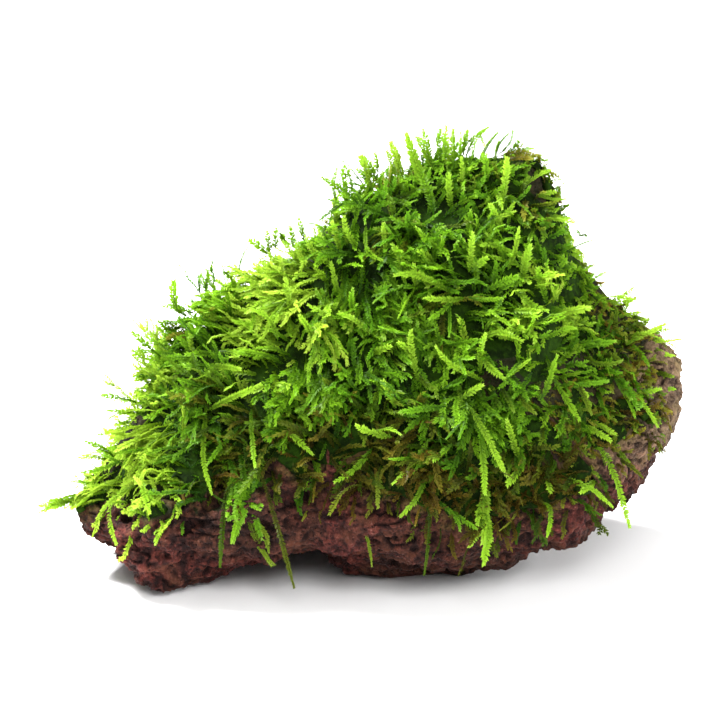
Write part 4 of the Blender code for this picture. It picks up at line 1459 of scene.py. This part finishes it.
    (0.77, 1.1, 504, 232, 500, 224, 495, 214, 490, 204),
    # middle
    (0.77, 1.2, 418, 380, 416, 372, 412, 356, 409, 342, 411, 330),
    (0.74, 0.9, 414, 358, 407, 347, 398, 342),
    (0.75, 1, 480, 374, 480, 358, 481, 344, 486, 333),
    (0.77, 1, 480, 340, 487, 333, 500, 331, 513, 335, 523, 341),
    (0.72, 0.8, 484, 334, 485, 319, 496, 316, 506, 317, 512, 329),
    (0.74, 1.2, 480, 350, 483, 362, 490, 370, 504, 378),
    (0.77, 1.1, 484, 381, 472, 375, 453, 367, 443, 359, 436, 346),
    (0.77, 0.7, 506, 380, 518, 368, 530, 359),
    (0.78, 1.2, 462, 398, 467, 395, 473, 389, 482, 385),
    (0.77, 1.1, 464, 298, 451, 302, 437, 298, 424, 298),
    (0.5, 0.7, 448, 299, 451, 320, 449, 337),
    (0.7, 1.1, 540, 400, 546, 394, 551, 374, 557, 355),
    (0.6, 0.9, 455, 297, 444, 312, 429, 319),
    (0.65, 0.8, 468, 297, 486, 302, 502, 298),
    (0.74, 1.1, 512, 283, 518, 291, 527, 303, 537, 310, 548, 311),
    (0.74, 1.2, 450, 292, 433, 280, 421, 275, 414, 272, 395, 275),
    (0.77, 1.1, 416, 290, 414, 276, 414, 264),
    (0.72, 0.9, 418, 284, 404, 304, 398, 318),
    (0.77, 1.1, 469, 272, 470, 266, 471, 251, 473, 232),
    (0.72, 1.3, 472, 272, 478, 263, 487, 258),
    (0.77, 1, 508, 270, 512, 262, 516, 248, 519, 228),
    (0.74, 1.4, 520, 285, 522, 279, 526, 262, 530, 245),
    (0.6, 1.2, 484, 292, 503, 280, 518, 276),
    (0.7, 1.1, 547, 304, 546, 298, 541, 282, 537, 268),
    (0.77, 0.9, 558, 302, 555, 294, 551, 286),
    (0.7, 0.9, 545, 340, 557, 331, 567, 325, 577, 328),
    (0.8, 1.4, 558, 314, 566, 311, 577, 310, 590, 308),
    (0.5, 1.1, 446, 406, 442, 407, 419, 409, 400, 412),
    (0.77, 1.3, 396, 408, 393, 402, 388, 391, 383, 381),
    (0.77, 1.2, 372, 354, 381, 349, 391, 346),
    (0.6, 0.8, 450, 345, 467, 342, 477, 339),
    (0.76, 1.1, 433, 262, 428, 254, 426, 254, 418, 251),
    (0.75, 1.1, 403, 272, 402, 267, 401, 258, 398, 249, 392, 244),
    (0.74, 0.9, 366, 226, 364, 246, 369, 256, 383, 260),
    (0.77, 0.9, 386, 256, 385, 244, 383, 223),
    (0.7, 0.9, 430, 250, 429, 244, 422, 231, 415, 227),
    (0.5, 0.6, 408, 234, 424, 224, 435, 218, 441, 211),
    (0.77, 1.1, 338, 292, 336, 289, 333, 275, 331, 262),
    (0.79, 1.1, 291, 312, 290, 306, 288, 290, 285, 278),
    (0.77, 1.2, 372, 334, 368, 331, 358, 322, 349, 315, 339, 313),
    (0.77, 1.1, 338, 328, 336, 325, 329, 317, 318, 310, 308, 305),
    (0.75, 0.9, 329, 314, 330, 311, 337, 303),
    (0.74, 1, 312, 336, 311, 331, 305, 322, 299, 315),
    (0.74, 0.9, 278, 340, 276, 330, 272, 321, 261, 310, 250, 310),
    (0.77, 1, 209, 410, 215, 406, 232, 397, 249, 391, 261, 384),
    (0.76, 1, 210, 365, 228, 367, 241, 369),
    (0.74, 0.9, 219, 351, 230, 349, 239, 356),
    (0.77, 0.9, 461, 190, 463, 184, 463, 172, 461, 157),
    (0.74, 1.2, 451, 208, 450, 203, 448, 189, 449, 174),
)

sprayLook = {
    "rootLift": -1.6,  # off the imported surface, towards the camera
    "tipLift": 1.3,
    "steepest": 0.6,  # how fast a shoot may fall away from the camera
    "fewestPoints": 5,
    "pointGap": 1.5,
    "smoothing": 3,
    "tilt": 0.3,
    "brighter": 0.12,
    "slimmer": 0.9,
    "seed": 31,
}


def sprayPath(pixels):
    look = sprayLook
    rays = [pixelRay(*pixel) for pixel in pixels]
    depths = []
    for start, way in rays:
        hits = [tree.ray_cast(start.tolist(), way.tolist())[3] for tree in (mossTree, stoneTree)]
        depths.append(min([hit for hit in hits if hit is not None], default=None))
    start, way = rays[0]
    beside = mossTree.find_nearest((start + way * view["distance"]).tolist())[0]
    spare = float((beside - Vector(start)) @ Vector(way))  # for a shoot that is in front of nothing
    last = next((depth for depth in depths if depth is not None), spare)
    line = []
    for index, (start, way) in enumerate(rays):
        share = index / (len(pixels) - 1)
        lift = look["rootLift"] + (look["tipLift"] - look["rootLift"]) * share
        if line:
            gap = math.dist(pixels[index], pixels[index - 1]) / view["pixelsPerMillimetre"]
            reach = last + look["steepest"] * gap
            last = last if depths[index] is None else min(depths[index] - lift, reach)
        else:
            last -= lift
        line.append(start + way * last)
    line = np.array(line)
    length = np.linalg.norm(np.diff(line, axis=0), axis=1).sum()
    count = max(look["fewestPoints"], int(length / look["pointGap"]))
    line = alongPath(line, np.linspace(0.0, 1.0, count))
    for _ in range(look["smoothing"]):
        line[1:-1] = (line[:-2] + 2 * line[1:-1] + line[2:]) / 4
    return line


def growSprays():
    look = sprayLook
    draw = np.random.default_rng(look["seed"])
    back, _ = viewWays()
    forms = []
    for hue, leafScale, *places in sprayRows:
        line = sprayPath(list(zip(places[::2], places[1::2])))
        facing = unit(back + draw.normal(0.0, look["tilt"], 3))
        flat = np.cross(facing, unit(np.gradient(line, axis=0)))
        points, faces, marks = leafyShoot(line, flat, leafScale * look["slimmer"], draw)
        marks = marks * (1.0, 1.0 - look["brighter"]) + (hue, look["brighter"])
        forms.append((points, faces, marks))
    buildPiece("mossSprays", forms, ["moss_mat"])


floorLook = {
    "size": 6000.0,
    "below": 0.2,  # the stone
    "colour": (0.86, 0.86, 0.86, 1.0),
    "roughness": 0.9,
    "specular": 0.1,
}


def makeFloor():
    look = floorLook
    bpy.ops.object.select_all(action="DESELECT")
    bpy.ops.mesh.primitive_plane_add(size=look["size"] * mm, location=(0.0, 0.0, -look["below"] * mm))
    floor = bpy.context.object
    floor.name = "floor"
    graph = Graph("paleFloor")
    shader = graph.surface(look["colour"], look["roughness"], look["specular"])
    floor.data.materials.append(graph.finish(shader))


lights = {
    "key": {"at": (-380.0, 200.0, 760.0), "size": 300.0, "power": 36.0},
    "fill": {"at": (60.0, -700.0, 640.0), "size": 420.0, "power": 7.0},
    "side": {"at": (700.0, -260.0, 300.0), "size": 360.0, "power": 7.0},
}

world = {"Color": (1.0, 1.0, 1.0, 1.0), "Strength": 0.40}


def makeLights():
    for name, values in lights.items():
        spot = Vector(values["at"]) * mm
        bpy.ops.object.light_add(type="AREA", location=spot)
        lamp = bpy.context.object
        lamp.name = name
        lamp.data.size = values["size"] * mm
        lamp.data.energy = values["power"]
        way = Vector(view["target"]) * mm - spot
        lamp.rotation_euler = way.to_track_quat("-Z", "Y").to_euler()
    softRoom = bpy.data.worlds.new("softRoom")
    bpy.context.scene.world = softRoom
    softRoom.use_nodes = True
    for name, value in world.items():
        softRoom.node_tree.nodes["Background"].inputs[name].default_value = value


def makeCamera():
    back = Vector(viewWays()[0])
    target = Vector(view["target"]) * mm
    bpy.ops.object.camera_add(location=target + back * view["distance"] * mm)
    camera = bpy.context.object
    camera.rotation_euler = (-back).to_track_quat("-Z", "Y").to_euler()
    camera.data.sensor_width = view["sensor"]
    width = view["frameSize"] / view["pixelsPerMillimetre"]
    camera.data.lens = view["sensor"] * view["distance"] / width
    bpy.context.scene.camera = camera
    bpy.context.scene.view_settings.view_transform = "Standard"


makeCamera()
makeLights()
makeFloor()
mossShader = mossMaterial()
growMoss(makeStone(), makeBed(), makePatterns())
growLong()
growSprays()
